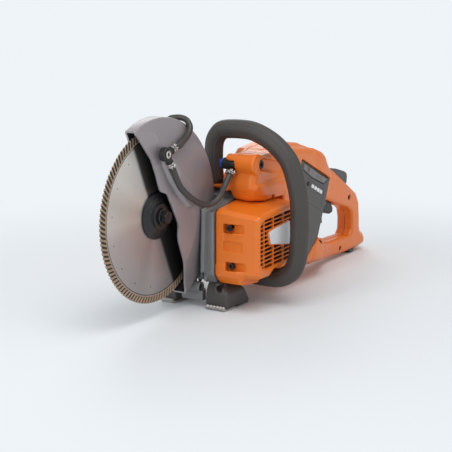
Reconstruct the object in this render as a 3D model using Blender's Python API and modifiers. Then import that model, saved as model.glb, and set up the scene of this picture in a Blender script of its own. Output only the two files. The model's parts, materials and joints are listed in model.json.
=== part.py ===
"""Battery power cutter with a 230 mm diamond blade, as an assembly of separate pieces.

Every measure below is in millimetres in the blade's frame: the blade's centre is the zero
point, +X is forwards, +Y is the operator's left (the arbor bolt's side), +Z is up.
The empty saw_datum carries that frame to its place above the floor.
"""
import bpy
import bmesh
import math
from mathutils import Vector

MM = 0.001

# ---------------------------------------------------------------- driving dimensions
DATUM = (214.4, -48.025, 138.0)
BLADE_R = 115.0                    # 230 mm blade
RIM_IN = 106.0                     # inner radius of the diamond rim
CORE_T = 2.4
RIM_T = 3.0
BORE_R = 12.7                      # one inch bore, bushed down to 20 mm
SPINDLE_R = 10.0
FLANGE_R = 31.0
GUARD_R = 128.5                    # outer radius of the guard's rim
GUARD_T = 2.6
MOTOR = (-132.0, -46.0)            # motor axis, x and z
PULLEY_BIG = 26.0
PULLEY_SMALL = 13.0                # the motor turns 2 times as fast as the blade
BELT_T = 1.8
GAP = 0.35                         # clearance between neighbours
HANDLE_R = 13.2                    # front handle tube
SPLIT_Y = 35.0                     # parting plane of the two housing halves
HAND_Y0, HAND_Y1 = 20.0, 50.0      # width of the rear handle
WALL = 3.0

# ---------------------------------------------------------------- clean start
for ob in list(bpy.data.objects):
    bpy.data.objects.remove(ob, do_unlink=True)


def collection(name):
    c = bpy.data.collections.new(name)
    bpy.context.scene.collection.children.link(c)
    return c


PARTS = collection("power_cutter")
CUTTERS = collection("cutters")
CUTTERS.hide_render = True


def empty(name, loc, parent=None):
    e = bpy.data.objects.new(name, None)
    PARTS.objects.link(e)
    e.location = Vector(loc) * MM
    e.parent = parent
    return e


datum = empty("saw_datum", DATUM)

# ---------------------------------------------------------------- materials
_mats = {}


def material(name, rgb, rough, metal=0.0):
    if name not in _mats:
        m = bpy.data.materials.new(name)
        m.use_nodes = True
        b = m.node_tree.nodes["Principled BSDF"]
        b.inputs["Base Color"].default_value = (*rgb, 1.0)
        b.inputs["Roughness"].default_value = rough
        b.inputs["Metallic"].default_value = metal
        _mats[name] = m
    return _mats[name]


ORANGE = material("orange_plastic", (0.83, 0.17, 0.02), 0.35)
GUARDM = material("guard_paint", (0.33, 0.30, 0.32), 0.45, 0.3)
CASTM = material("casting_paint", (0.19, 0.20, 0.20), 0.45, 0.4)
RUBBER = material("dark_rubber", (0.06, 0.055, 0.05), 0.7)
BATTM = material("battery_plastic", (0.09, 0.085, 0.085), 0.55)
LATCHM = material("latch_plastic", (0.20, 0.195, 0.19), 0.5)
BLACK = material("black_plastic", (0.02, 0.02, 0.02), 0.5)
BLUE = material("blue_plastic", (0.03, 0.10, 0.35), 0.4)
WHITE = material("white_plate", (0.8, 0.8, 0.83), 0.4)
STEEL = material("steel", (0.6, 0.6, 0.6), 0.3, 1.0)
BLADEM = material("blade_steel", (0.62, 0.60, 0.58), 0.25, 1.0)
FLANGEM = material("black_steel", (0.03, 0.03, 0.03), 0.35, 0.8)
COPPER = material("motor_winding", (0.45, 0.2, 0.08), 0.4, 0.8)
IRON = material("motor_iron", (0.25, 0.25, 0.26), 0.5, 0.9)
BOARD = material("circuit_board", (0.02, 0.12, 0.05), 0.5)


# ---------------------------------------------------------------- builders
def finish(ob, mat, loc=(0, 0, 0), rot=(0, 0, 0), parent=None, cutter=False, smooth=35):
    (CUTTERS if cutter else PARTS).objects.link(ob)
    ob.parent = parent or datum
    ob.location = Vector(loc) * MM
    ob.rotation_euler = rot
    if cutter:
        ob.hide_render = True
        ob.display_type = 'WIRE'
    elif ob.type == 'MESH':
        if mat:
            ob.data.materials.clear()
            ob.data.materials.append(mat)
        ob.data.shade_smooth()
        ob.data.set_sharp_from_angle(angle=math.radians(smooth))
    return ob


def mesh_object(name, bm):
    bmesh.ops.recalc_face_normals(bm, faces=bm.faces)
    me = bpy.data.meshes.new(name)
    bm.to_mesh(me)
    bm.free()
    return bpy.data.objects.new(name, me)


def box(name, lo, hi, mat=None, bevel=0.0, seg=1, cutter=False, parent=None, origin=None):
    """A box between two corners; its origin is its centre unless one is given."""
    lo, hi = Vector(lo), Vector(hi)
    c = (lo + hi) / 2
    o = Vector(origin) if origin else c
    bm = bmesh.new()
    bmesh.ops.create_cube(bm, size=1.0)
    for v in bm.verts:
        v.co = (Vector((v.co.x * (hi.x - lo.x), v.co.y * (hi.y - lo.y), v.co.z * (hi.z - lo.z))) + c - o) * MM
    ob = finish(mesh_object(name, bm), mat, o, cutter=cutter, parent=parent)
    if bevel:
        m = ob.modifiers.new("Bevel", 'BEVEL')
        m.width = bevel * MM
        m.segments = seg
        m.limit_method = 'ANGLE'
    return ob


def cylinder(name, r, a, b, mat=None, seg=24, cutter=False, parent=None, r2=None):
    """A cylinder (or cone) from point a to point b."""
    a, b = Vector(a), Vector(b)
    d = b - a
    bm = bmesh.new()
    bmesh.ops.create_cone(bm, cap_ends=True, cap_tris=False, segments=seg,
                          radius1=r * MM, radius2=(r if r2 is None else r2) * MM, depth=d.length * MM)
    rot = d.to_track_quat('Z', 'Y').to_euler()
    return finish(mesh_object(name, bm), mat, (a + b) / 2, rot, cutter=cutter, parent=parent)


def turned(name, profile, mat, loc, steps=24, closed=False, parent=None, cutter=False, axis='Y'):
    """A profile of (radius, height) turned about an axis; the profile runs down the outer side."""
    bm = bmesh.new()
    vs = [bm.verts.new((r * MM, 0, h * MM)) for r, h in profile]
    for p, q in zip(vs, vs[1:]):
        bm.edges.new((p, q))
    if closed:
        bm.edges.new((vs[-1], vs[0]))
    me = bpy.data.meshes.new(name)
    bm.to_mesh(me)
    bm.free()
    ob = bpy.data.objects.new(name, me)
    s = ob.modifiers.new("Screw", 'SCREW')
    s.axis = 'Z'
    s.steps = s.render_steps = steps
    s.use_merge_vertices = True
    s.merge_threshold = 0.00001
    s.use_smooth_shade = True
    rot = {'Y': (-math.pi / 2, 0, 0), 'Z': (0, 0, 0), 'X': (0, math.pi / 2, 0)}[axis]
    finish(ob, mat, loc, rot, cutter=cutter, parent=parent)
    return ob


def ring(name, r_out, r_in, y0, y1, mat, x=0.0, z=0.0, steps=20, parent=None, c=0, cutter=False):
    """A ring about the Y direction, with chamfered outer edges where c is given."""
    p = [(r_out - c, y1), (r_out, y1 - c), (r_out, y0 + c), (r_out - c, y0), (r_in, y0), (r_in, y1)]
    if c == 0:
        p = [(r_out, y1), (r_out, y0), (r_in, y0), (r_in, y1)]
    return turned(name, p, mat, (x, 0, z), steps, closed=True, parent=parent, cutter=cutter)


def to_mesh(ob, name=None, cutter=False, mat=None, parent=None, weld=0.000002):
    """Evaluate an object (curve or mesh with modifiers) to one welded mesh object."""
    bpy.context.view_layer.update()
    dg = bpy.context.evaluated_depsgraph_get()
    me = bpy.data.meshes.new_from_object(ob.evaluated_get(dg), preserve_all_data_layers=False, depsgraph=dg)
    bm = bmesh.new()
    bm.from_mesh(me)
    bmesh.ops.remove_doubles(bm, verts=bm.verts, dist=weld)
    bmesh.ops.recalc_face_normals(bm, faces=bm.faces)
    bm.to_mesh(me)
    bm.free()
    new = bpy.data.objects.new(name or ob.name, me)
    mw = ob.matrix_world.copy()
    name = name or ob.name
    bpy.data.objects.remove(ob, do_unlink=True)
    new.name = name
    (CUTTERS if cutter else PARTS).objects.link(new)
    new.parent = parent or datum
    new.matrix_world = mw
    if cutter:
        new.hide_render = True
        new.display_type = 'WIRE'
    else:
        if mat:
            me.materials.clear()
            me.materials.append(mat)
        me.shade_smooth()
        me.set_sharp_from_angle(angle=math.radians(35))
    return new


def outline(name, pts, y0, y1, mat=None, cutter=False, parent=None, bevel=0.0, seg=1, holes=(), origin=(0, 0)):
    """A flat outline of (x, z) points, y0 to y1 thick."""
    cu = bpy.data.curves.new(name, 'CURVE')
    cu.dimensions = '2D'
    cu.fill_mode = 'BOTH'
    cu.extrude = (y1 - y0) / 2 * MM
    for loop in (pts, *holes):
        s = cu.splines.new('POLY')
        s.points.add(len(loop) - 1)
        for p, (x, z) in zip(s.points, loop):
            p.co = ((x - origin[0]) * MM, (z - origin[1]) * MM, 0, 1)
        s.use_cyclic_u = True
    ob = bpy.data.objects.new(name, cu)
    CUTTERS.objects.link(ob)
    ob.parent = parent or datum
    par = Vector((0, 0, 0))
    ob.location = Vector((origin[0], (y0 + y1) / 2, origin[1])) * MM - par
    ob.rotation_euler = (math.pi / 2, 0, 0)
    new = to_mesh(ob, name, cutter=cutter, mat=mat, parent=parent)
    if bevel:
        # round only the rims of the two flat faces
        bm = bmesh.new()
        bm.from_mesh(new.data)
        h = (y1 - y0) / 2 * MM
        rim = [e for e in bm.edges if all(abs(abs(v.co.z) - h) < 1e-6 for v in e.verts)
               and e.verts[0].co.z * e.verts[1].co.z > 0 and e.calc_face_angle(0) > 0.5]
        bmesh.ops.bevel(bm, geom=rim, offset=bevel * MM, offset_type='OFFSET', segments=seg, profile=0.5,
                        affect='EDGES', clamp_overlap=False)
        bmesh.ops.recalc_face_normals(bm, faces=bm.faces)
        bm.to_mesh(new.data)
        bm.free()
        if not cutter:
            new.data.shade_smooth()
            new.data.set_sharp_from_angle(angle=math.radians(35))
    return new


def smooth_path(pts, n):
    """Catmull-Rom through the points, n samples a span."""
    p = [Vector(q) for q in pts]
    p = [2 * p[0] - p[1]] + p + [2 * p[-1] - p[-2]]
    out = []
    for i in range(1, len(p) - 2):
        for k in range(n):
            t = k / n
            a, b, c, d = p[i - 1], p[i], p[i + 1], p[i + 2]
            out.append(0.5 * ((2 * b) + (c - a) * t + (2 * a - 5 * b + 4 * c - d) * t * t
                              + (3 * b - a - 3 * c + d) * t ** 3))
    out.append(p[-2])
    return out


def tube(name, pts, r, mat=None, n=3, res=2, cutter=False, parent=None, cyclic=False, origin=(0, 0, 0)):
    path = [Vector(q) for q in pts] if n == 0 else smooth_path(pts, n)
    cu = bpy.data.curves.new(name, 'CURVE')
    cu.dimensions = '3D'
    cu.bevel_depth = r * MM
    cu.bevel_resolution = res
    cu.use_fill_caps = not cyclic
    s = cu.splines.new('POLY')
    s.points.add(len(path) - 1)
    for p, q in zip(s.points, path):
        p.co = (*((q - Vector(origin)) * MM), 1)
    s.use_cyclic_u = cyclic
    ob = bpy.data.objects.new(name, cu)
    CUTTERS.objects.link(ob)
    ob.parent = parent or datum
    ob.location = Vector(origin) * MM
    return to_mesh(ob, name, cutter=cutter, mat=mat, parent=parent)


def boolean(ob, other, op='DIFFERENCE'):
    m = ob.modifiers.new(op.title(), 'BOOLEAN')
    m.operation = op
    m.solver = 'EXACT'
    m.object = other
    return ob


def cut(ob, *others):
    for o in others:
        boolean(ob, o, 'DIFFERENCE')
    return ob


def join(ob, *others):
    for o in others:
        boolean(ob, o, 'UNION')
    return ob


def hull(r1, c2, r2, n=12):
    """Outline of a belt round circle r1 at the zero point and circle r2 at c2."""
    d = math.hypot(*c2)
    base = math.atan2(c2[1], c2[0])
    half = math.acos((r1 - r2) / d)
    pts = []
    for i in range(n + 1):
        a = base + half + (2 * math.pi - 2 * half) * i / n
        pts.append((r1 * math.cos(a), r1 * math.sin(a)))
    for i in range(n + 1):
        a = base - half + 2 * half * i / n
        pts.append((c2[0] + r2 * math.cos(a), c2[1] + r2 * math.sin(a)))
    return pts


def offset(poly, d):
    """Grow (d > 0) or shrink a simple polygon by moving its sides."""
    n = len(poly)
    area = sum(poly[i][0] * poly[(i + 1) % n][1] - poly[(i + 1) % n][0] * poly[i][1] for i in range(n))
    s = 1 if area > 0 else -1
    out = []
    for i in range(n):
        p, q, r = Vector(poly[i - 1]), Vector(poly[i]), Vector(poly[(i + 1) % n])
        e1, e2 = (q - p).normalized(), (r - q).normalized()
        n1, n2 = Vector((e1.y, -e1.x)) * s, Vector((e2.y, -e2.x)) * s
        b = (n1 + n2)
        b = b / max(b.length_squared / 2, 0.35)
        out.append((q.x + b.x * d, q.y + b.y * d))
    return out


def circle(cx, cz, r, n=16):
    return [(cx + r * math.cos(2 * math.pi * i / n), cz + r * math.sin(2 * math.pi * i / n)) for i in range(n)]


def screw(name, tip, head, r_head, r_shank, h_head, mat=STEEL, seg=8):
    """A socket-head screw: shank from tip to the head's seat, then the head with a socket."""
    tip, head = Vector(tip), Vector(head)
    d = (head - tip)
    L = d.length
    p = [(0, h_head * 0.45), (r_head * 0.45, h_head * 0.45), (r_head * 0.5, h_head), (r_head * 0.85, h_head),
         (r_head, h_head * 0.8), (r_head, 0), (r_shank, 0), (r_shank, -L), (0, -L)]
    bm = bmesh.new()
    vs = [bm.verts.new((r * MM, 0, h * MM)) for r, h in p]
    for a, b in zip(vs, vs[1:]):
        bm.edges.new((a, b))
    me = bpy.data.meshes.new(name)
    bm.to_mesh(me)
    bm.free()
    ob = bpy.data.objects.new(name, me)
    s = ob.modifiers.new("Screw", 'SCREW')
    s.axis = 'Z'
    s.steps = s.render_steps = seg
    s.use_merge_vertices = True
    s.merge_threshold = 0.00001
    rot = d.to_track_quat('Z', 'Y').to_euler()
    return finish(ob, mat, head, rot)


# ================================================================ blade and spindle (turning)
spin = empty("spindle_axis", (0, 0, 0), datum)

turned("diamond_blade",
       [(RIM_IN - 0.5, CORE_T / 2), (RIM_IN, RIM_T / 2), (BLADE_R, RIM_T / 2), (BLADE_R, -RIM_T / 2),
        (RIM_IN, -RIM_T / 2), (RIM_IN - 0.5, -CORE_T / 2), (BORE_R, -CORE_T / 2), (BORE_R, CORE_T / 2)],
       BLADEM, (0, 0, 0), 48, closed=True, parent=spin)
ring("arbor_bushing", BORE_R - 0.3, SPINDLE_R + 0.3, -1.1, 1.1, STEEL, steps=16, parent=spin)
turned("outer_flange",
       [(16.5, 12.0), (17.5, 11.0), (17.5, 8.0), (24.0, 6.8), (29.0, 4.8), (FLANGE_R, 3.6), (FLANGE_R, 1.6),
        (SPINDLE_R + 0.3, 1.6), (SPINDLE_R + 0.3, 12.0)],
       FLANGEM, (0, 0, 0), 24, closed=True, parent=spin)
turned("inner_flange",
       [(FLANGE_R, -1.6), (FLANGE_R, -3.6), (17.0, -6.0), (16.0, -9.4), (SPINDLE_R + 0.3, -9.4), (SPINDLE_R + 0.3, -1.6)],
       FLANGEM, (0, 0, 0), 20, closed=True, parent=spin)
turned("spindle_shaft",
       [(0, -12.0), (5.3, -12.0), (5.3, 11.4), (SPINDLE_R, 11.4), (SPINDLE_R, -9.8), (12.0, -9.8), (12.0, -14.0),
        (SPINDLE_R, -14.0), (SPINDLE_R, -45.0), (0, -45.0)],
       STEEL, (0, 0, 0), 16, parent=spin)
ring("arbor_washer", 11.0, 5.4, 12.35, 15.2, FLANGEM, steps=16, parent=spin)
_b = turned("arbor_bolt", [(0, 17.0), (4.9, 17.0), (4.9, -11.0), (0, -11.0)], STEEL, (0, 0, 0), 12, parent=spin)
_h = cylinder("bolt_head_form", 8.2, (0, 15.6, 0), (0, 22.0, 0), seg=6, cutter=True, parent=spin)
join(_b, _h)
ring("spindle_pulley", PULLEY_BIG, SPINDLE_R + 0.3, -44.0, -33.0, IRON, steps=24, parent=spin)

# ================================================================ motor rotor (turning)
mot = empty("motor_axis", (MOTOR[0], 0, MOTOR[1]), datum)
turned("rotor_shaft", [(0, 103.0), (5.0, 103.0), (5.0, -46.0), (0, -46.0)], STEEL, (0, 0, 0), 12, parent=mot)
ring("motor_rotor", 24.2, 5.3, 48.0, 84.0, IRON, steps=20, parent=mot)
ring("motor_pulley", PULLEY_SMALL, 5.3, -44.0, -33.0, IRON, steps=16, parent=mot)
fan = ring("cooling_fan", 13.0, 5.3, 92.5, 101.0, BLACK, steps=14, parent=mot)
for i in range(7):
    a = 2 * math.pi * i / 7
    d = Vector((math.cos(a), 0, math.sin(a)))
    t = Vector((-math.sin(a), 0, math.cos(a)))
    bm = bmesh.new()
    bmesh.ops.create_cube(bm, size=1.0)
    for v in bm.verts:
        rr = 19.5 + v.co.x * 17.0
        v.co = (d * rr + t * (v.co.z * 1.6 + (rr - 19.5) * 0.25) + Vector((0, 96.5 + v.co.y * 7.0, 0))) * MM
    blade_i = finish(mesh_object("fan_vane_form_%d" % i, bm), None, (0, 0, 0), cutter=True, parent=mot)
    join(fan, blade_i)

# ================================================================ blade guard
EDGE = [(54, 113), (25, 76.5), (10.4, 37.4), (-3.2, 31.2), (-24.9, -12.4), (-24.5, -33.9), (-47.5, -98.5)]


def edge_radius(theta):
    """Radius of the near wall's free edge along the ray at angle theta."""
    d = Vector((math.cos(theta), math.sin(theta)))
    for p, q in zip(EDGE, EDGE[1:]):
        p, q = Vector(p), Vector(q)
        e = q - p
        den = d.x * e.y - d.y * e.x
        if abs(den) < 1e-9:
            continue
        r = (p.x * e.y - p.y * e.x) / den
        t = (d.x * p.y - d.y * p.x) / -den if False else (Vector((d.x * r, d.y * r)) - p).dot(e) / e.dot(e)
        if r > 0 and -1e-6 <= t <= 1 + 1e-6:
            return r
    return None


def near_wall_y(x, z):
    """Height (along Y) of the near wall's outer face."""
    r = math.hypot(x, z)
    band = 11.0 + 0.11 * (54.0 - x)
    # side of the crease line, which runs from (19, 109) to (-42, 8)
    s = ((x - 19.0) * (8.0 - 109.0) - (z - 109.0) * (-42.0 - 19.0)) / math.hypot(61.0, 101.0)
    k = min(max((s + 2.0) / 7.0, 0.0), 1.0)
    band += 3.0 * k * k * (3 - 2 * k)
    cone = 10.5 + 0.22 * (GUARD_R - r)
    return min(band, cone, 25.3)


TH0, TH1 = math.atan2(113, 54), math.radians(360) + math.atan2(-98.5, -47.5)


def guard_shell(n_theta, n_wall):
    """Open outer surface of the guard as a grid: near wall, rim, far wall."""
    bm = bmesh.new()
    rows = []
    for i in range(n_theta + 1):
        th = TH0 + (TH1 - TH0) * i / n_theta
        c, s = math.cos(th), math.sin(th)
        r0 = edge_radius(min(max(th, TH0 + 1e-4), TH1 - 1e-4)) or 120.0
        r0 = min(r0, GUARD_R - 6.0)
        prof = []
        for k in range(n_wall + 1):
            r = r0 + (GUARD_R - 2.5 - r0) * k / n_wall
            prof.append((r, near_wall_y(r * c, r * s)))
        prof += [(GUARD_R, 8.2), (GUARD_R, 0.0), (GUARD_R, -8.0), (GUARD_R - 2.5, -10.2), (80.0, -10.2), (34.5, -10.2)]
        rows.append([bm.verts.new((r * c * MM, y * MM, r * s * MM)) for r, y in prof])
    for a, b in zip(rows, rows[1:]):
        for k in range(len(a) - 1):
            bm.faces.new((a[k], a[k + 1], b[k + 1], b[k]))
    return bm


bm = guard_shell(22, 3)
me = bpy.data.meshes.new("blade_guard")
bm.normal_update()
# outside must face away from the blade
f = max(bm.faces, key=lambda q: q.calc_center_median().y)
if f.normal.y < 0:
    bmesh.ops.reverse_faces(bm, faces=bm.faces)
bm.to_mesh(me)
bm.free()
guard = bpy.data.objects.new("blade_guard", me)
finish(guard, GUARDM)
sol = guard.modifiers.new("Solidify", 'SOLIDIFY')
sol.thickness = GUARD_T * MM
sol.offset = -1.0

# ================================================================ drive housing (casting), belt and its cover
PLATE = [(-74, -3), (-74, -90), (-84, -104), (-132, -105), (-134, -122), (-166, -122), (-168, -105), (-182, -104),
         (-191.5, -94), (-191.5, 6), (-182, 17), (-147, 16), (-131, 10)]
drive = outline("drive_housing", PLATE, 26.0, 43.0, CASTM)
mid = outline("mid_form", [(-76, 2), (-76, -100), (-182, -104), (-191.5, -94), (-191.5, 6), (-182, 17), (-147, 16), (-131, 10)],
              -16.0, 30.0, cutter=True)
arm = outline("arm_form", hull(35.0, MOTOR, 27.0, 10), -38.0, -13.0, cutter=True)
guard_room = cylinder("guard_room", GUARD_R + 1.2, (0, -12.85, 0), (0, 25.7, 0), seg=48, cutter=True)
cut(mid, guard_room)
join(drive, mid, arm)
arm_room = outline("arm_room", hull(32.0, MOTOR, 24.0, 10), -45.0, -17.5, cutter=True)
cut(drive, arm_room)
boss = cylinder("bearing_boss", 21.0, (0, -31.5, 0), (0, -16.0, 0), seg=24, cutter=True)
join(drive, boss)
cut(drive,
    cylinder("bearing_bore", 17.35, (0, -40, 0), (0, -5, 0), seg=24, cutter=True),
    cylinder("shaft_bore", 7.5, (MOTOR[0], -60, MOTOR[1]), (MOTOR[0], 60, MOTOR[1]), seg=16, cutter=True),
    cylinder("motor_bearing_bore", 13.35, (MOTOR[0], 27.5, MOTOR[1]), (MOTOR[0], 60, MOTOR[1]), seg=24, cutter=True))
ring("spindle_bearing_outer", 17.0, 12.4, -23.0, -16.5, STEEL, steps=16)
ring("spindle_bearing_inner", 17.0, SPINDLE_R + 0.35, -30.5, -24.0, STEEL, steps=16)
ring("motor_bearing_front", 13.0, 5.35, 28.5, 36.5, STEEL, MOTOR[0], MOTOR[1], 16)
belt_out = hull(PULLEY_BIG + 0.4 + BELT_T, MOTOR, PULLEY_SMALL + 0.4 + BELT_T, 12)
belt_in = hull(PULLEY_BIG + 0.4, MOTOR, PULLEY_SMALL + 0.4, 12)
outline("drive_belt", belt_out, -43.0, -34.0, RUBBER, holes=(belt_in,))
cover = outline("belt_cover", hull(35.0, MOTOR, 27.0, 12), -49.5, -38.4, CASTM, bevel=2.5, seg=1)
cut(cover, outline("belt_cover_room", hull(32.4, MOTOR, 24.4, 10), -47.0, -30.0, cutter=True))

# ================================================================ motor
ring("motor_stator", 32.0, 24.9, 45.0, 85.0, COPPER, MOTOR[0], MOTOR[1], 24)
ring("motor_end_shield", 32.0, 10.35, 86.2, 90.0, CASTM, MOTOR[0], MOTOR[1], 20)
ring("motor_bearing_rear", 10.0, 5.35, 86.4, 90.4, STEEL, MOTOR[0], MOTOR[1], 16)

COVER = [(-75, -3), (-75, -88), (-82, -95.5), (-110, -96), (-124, -86.5), (-178, -85.5), (-188, -78), (-188, -2), (-180, 8),
         (-150, 8.8), (-131, 8.0), (-82, 2)]
# the cover's outline shrinks towards its outer face, which gives the sloping top
mc = outline("motor_cover", COVER, 43.35, 110.5, ORANGE)
for v in mc.data.vertices:
    # local z runs along -Y about the middle plane; z > 0 is the inner side
    out = 0.5 - v.co.z / (67.15 * MM)
    top = v.co.y / MM
    if top > -40:
        v.co.y -= 8.0 * MM * out * min(1.0, (top + 40) / 40.0)
    if top < -70:
        v.co.y += 7.0 * MM * out
    if v.co.x > -0.100:
        v.co.x -= 3.0 * MM * out
bm = bmesh.new()
bm.from_mesh(mc.data)
zmin = min(v.co.z for v in bm.verts)
rim = [e for e in bm.edges if all(v.co.z < zmin + 1e-5 for v in e.verts)]
bmesh.ops.bevel(bm, geom=rim, offset=12.0 * MM, offset_type='OFFSET', segments=3, profile=0.5, affect='EDGES', clamp_overlap=True)
bmesh.ops.recalc_face_normals(bm, faces=bm.faces)
bm.to_mesh(mc.data)
bm.free()
join(mc, outline("skirt_form", [(-79, -80), (-77.5, -91.5), (-85, -100.8), (-96, -103.7), (-112, -105.2), (-128, -106.3), (-134.3, -100), (-135, -82)],
                 43.8, 80.0, cutter=True, bevel=3.0))
room = outline("motor_room", [(-88, -9), (-88, -86), (-92, -91), (-109, -92), (-123, -84.5), (-176, -83.5), (-184.5, -76),
                              (-184.5, -8), (-178, -4), (-131, -4)], 18.0, 70.0, cutter=True)
room_end = outline("motor_room_mid", [(-89, -11.5), (-89, -80), (-176, -79.8), (-178, -11.5)], 69.0, 92.0, cutter=True)
join(room_end, outline("motor_room_end", [(-90, -13), (-90, -76.4), (-172, -76.2), (-174, -13)], 91.0, 103.0, cutter=True))
join(room_end, outline("motor_room_tip", [(-92, -16), (-92, -70), (-168, -70), (-170, -16)], 102.0, 107.2, cutter=True))
join(room, room_end)
cut(mc, room)
# screw pockets in the front face, each with a channel fading towards +Y
for nm, z in (("upper", -22.0), ("lower", -74.0)):
    pk = box("pocket_" + nm, (-82.5, 58.0, z - 6.5), (-60.0, 74.0, z + 6.5), cutter=True)
    cut(mc, pk, cylinder("pocket_bore_" + nm, 2.7, (-78, 66, z), (-95, 66, z), seg=10, cutter=True))
# side grille: rows of slots in three columns
GR_X = [(-96, -86), (-118, -99), (-150, -121), (-180, -153)]
k = 0
for r in range(8):
    z = -19.0 - 6.8 * r
    for x0, x1 in GR_X:
        if x0 < -119 and -58 < z < -22:
            continue                      # the plain plate sits here
        if x0 < -119 and z < -76:
            continue
        if x0 > -100 and (z > -20 or z < -78):
            continue
        cut(mc, box("slot_%02d" % k, (x0, 104.0, z - 1.7), (x1, 120.0, z + 1.7), cutter=True))
        k += 1
outline("grille_plate", [(-126, -26), (-122, -40), (-124, -54), (-166, -55), (-168, -24), (-150, -20)], 110.8, 111.8, WHITE)
screw("cover_screw_upper", (-90.0, 66, -22), (-82.1, 66, -22), 4.2, 2.2, 3.2, FLANGEM)
screw("cover_screw_lower", (-90.0, 66, -74), (-82.1, 66, -74), 4.2, 2.2, 3.2, FLANGEM)

# ================================================================ orange housing with the rear handle loop
BATT = [(-344, 8), (-253, 49), (-201, -70), (-271, -100.8), (-308.3, -73)]          # battery outline, x and z
LOW = [(-194, 24), (-345, 24), (-352, -10), (-345, -50), (-333.5, -101), (-325, -125), (-240, -114), (-194, -107)]
HIGH = [(-114, 19.5), (-118, 40.5), (-132, 58), (-152, 68), (-228, 70), (-234, 60), (-234, 19.5)]
REAR = [(-204, -20), (-204, 69.2), (-221.5, 69.5), (-285, 61.7), (-330, 42.7), (-348, 22), (-349, -20)]
SIDE = [(-113.3, 11.0), (-118.6, 29.2), (-200, 34), (-230, 24), (-230, -30), (-193, -30), (-193, 11.0)]
HUMP = [(-165, 24), (-168, 60), (-180, 70), (-226, 75), (-285, 68), (-325, 53), (-352, 38), (-352, 10), (-200, 10)]
LOOP = [(-300, 58), (-325, 52), (-370, 31), (-420, 9.5), (-474, -21), (-503, -38), (-514, -54), (-517.5, -80),
        (-518.5, -100), (-524, -106), (-532, -109.5), (-538.5, -119), (-537, -131), (-512, -134.0), (-447, -133.0), (-402, -130),
        (-318, -121.5), (-290, -113), (-318, -60), (-320, 0)]
DHOLE = [(-354.3, -18.5), (-392, -34), (-434, -48), (-470, -58.5), (-482, -66), (-486.5, -80), (-486, -98), (-478, -106),
         (-405, -104), (-375, -96), (-345, -84.5), (-315.2, -78.2), (-327.3, -44), (-339.8, -14.3)]

body = outline("housing_form", LOW, -42.0, 80.0, ORANGE, bevel=7.0, seg=2)
high = outline("high_form", HIGH, 28.0, 81.0, cutter=True, bevel=9.0, seg=2)
rear = outline("rear_form", REAR, 28.2, 80.7, cutter=True, bevel=9.0, seg=2)
side = outline("side_form", SIDE, 43.9, 84.0, cutter=True, bevel=4.0, seg=1)
hump = outline("hump_form", HUMP, 12.0, 60.0, cutter=True, bevel=9.0, seg=2)
loop = outline("loop_form", LOOP, HAND_Y0, HAND_Y1, cutter=True, bevel=8.0, seg=2)
boss_tube = cylinder("damper_boss", 12.2, (-126, 34.0, 57.2), (-126, 83.3, 57.2), seg=24, cutter=True, r2=14.4)
boss_out = cylinder("damper_boss_out", 13.4, (-141, 66.0, 55.3), (-141, 82.6, 55.3), seg=24, cutter=True)
hole_edge = outline("loop_hole", DHOLE, 0.0, 90.0, cutter=True)
tongue = box("tongue_form", (-229, -41.0, 19.0), (-133.7, 79.0, 23.2), cutter=True)
join(body, tongue, high, rear, side, hump, loop, boss_tube, boss_out)
cut(body, hole_edge)
solid = to_mesh(body, "housing_solid", cutter=True)


def inner(name, poly, y0, y1):
    return outline(name, poly, y0, y1, cutter=True)


# the hollow, as prisms held a wall's thickness inside the outside forms
hollow = outline("hollow_low", offset(LOW, -WALL), -39.0, 77.0, cutter=True, bevel=6.0)
join(hollow, outline("hollow_high", [(-118, 22.5), (-121.5, 40), (-134.5, 54), (-154, 64), (-223, 65.6), (-283, 58), (-328, 39),
                                     (-344, 20), (-345, 6), (-200, 22.0), (-160, 22.5)], 31.0, 78.0, cutter=True, bevel=7.5),
     outline("hollow_hump", [(-169, 12), (-172, 58), (-182, 66.3), (-226, 71.5), (-284, 64.5), (-323, 49.7), (-346, 34), (-346, 12)],
             15.5, 56.5, cutter=True, bevel=7.5))
body = to_mesh(hollow, "hollow_a", cutter=True)
cut(body, outline("hole_lining", offset(DHOLE, WALL), -2.6, 95.0, cutter=True))
LOOP_IN = offset(LOOP[1:-2], -WALL - 1.0)
DH_OUT = offset(DHOLE, WALL)
loop_room = outline("loop_room", [(-324, 44), (-366, 25.5), (-419, 3.0), (-471, -27), (-498, -43), (-508.5, -58), (-512, -84),
                                  (-513, -110), (-520, -117), (-519, -128), (-449, -128), (-403, -125),
                                  (-334, -117), (-340, -60), (-340, -20)],
                    HAND_Y0 + WALL, HAND_Y1 - WALL, cutter=True, bevel=6.0)
dh = outline("dh_keep", DH_OUT, 0.0, 90.0, cutter=True)
cut(loop_room, dh)
bay_wall = outline("bay_wall", offset(BATT, 3.4), -1.4, 78.0, cutter=True)
cut(solid, body)
join(solid, bay_wall)
cut(solid, outline("bay_room", offset(BATT, 0.7), 1.4, 95.0, cutter=True))
cut(solid, loop_room)
# openings: front handle leg, power button, trigger, lockout, valve room, damper bolt, vent hole, pins
leg_hole = cylinder("leg_hole", HANDLE_R + 0.9, (-150, -3.0, 0), (-150, -3.6, 29), seg=24, cutter=True)
button_hole = cylinder("button_hole", 8.4, (-300, 5, 41), (-300, 31, 41), seg=16, cutter=True)
TRIG_PIN = (-362.0, -9.0)
LOCK_PIN = (-414.0, -1.0)
trig_slot = box("trigger_slot", (-446, 26.5, -75), (-349.6, 43.5, -28.4), cutter=True)
trig_slot2 = box("trigger_slot2", (-394, 26.8, -40), (-350.8, 43.2, -8), cutter=True)
lock_slot = box("lockout_slot", (-483, 26.5, -30), (-409, 43.5, 30), cutter=True)
valve_room = cylinder("valve_room", 9.6, (-123, 20, 56.0), (-123, 50.5, 56.0), seg=16, cutter=True)
valve_room2 = box("valve_room2", (-121.0, 20, 38), (-100, 50.2, 59), cutter=True)
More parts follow.
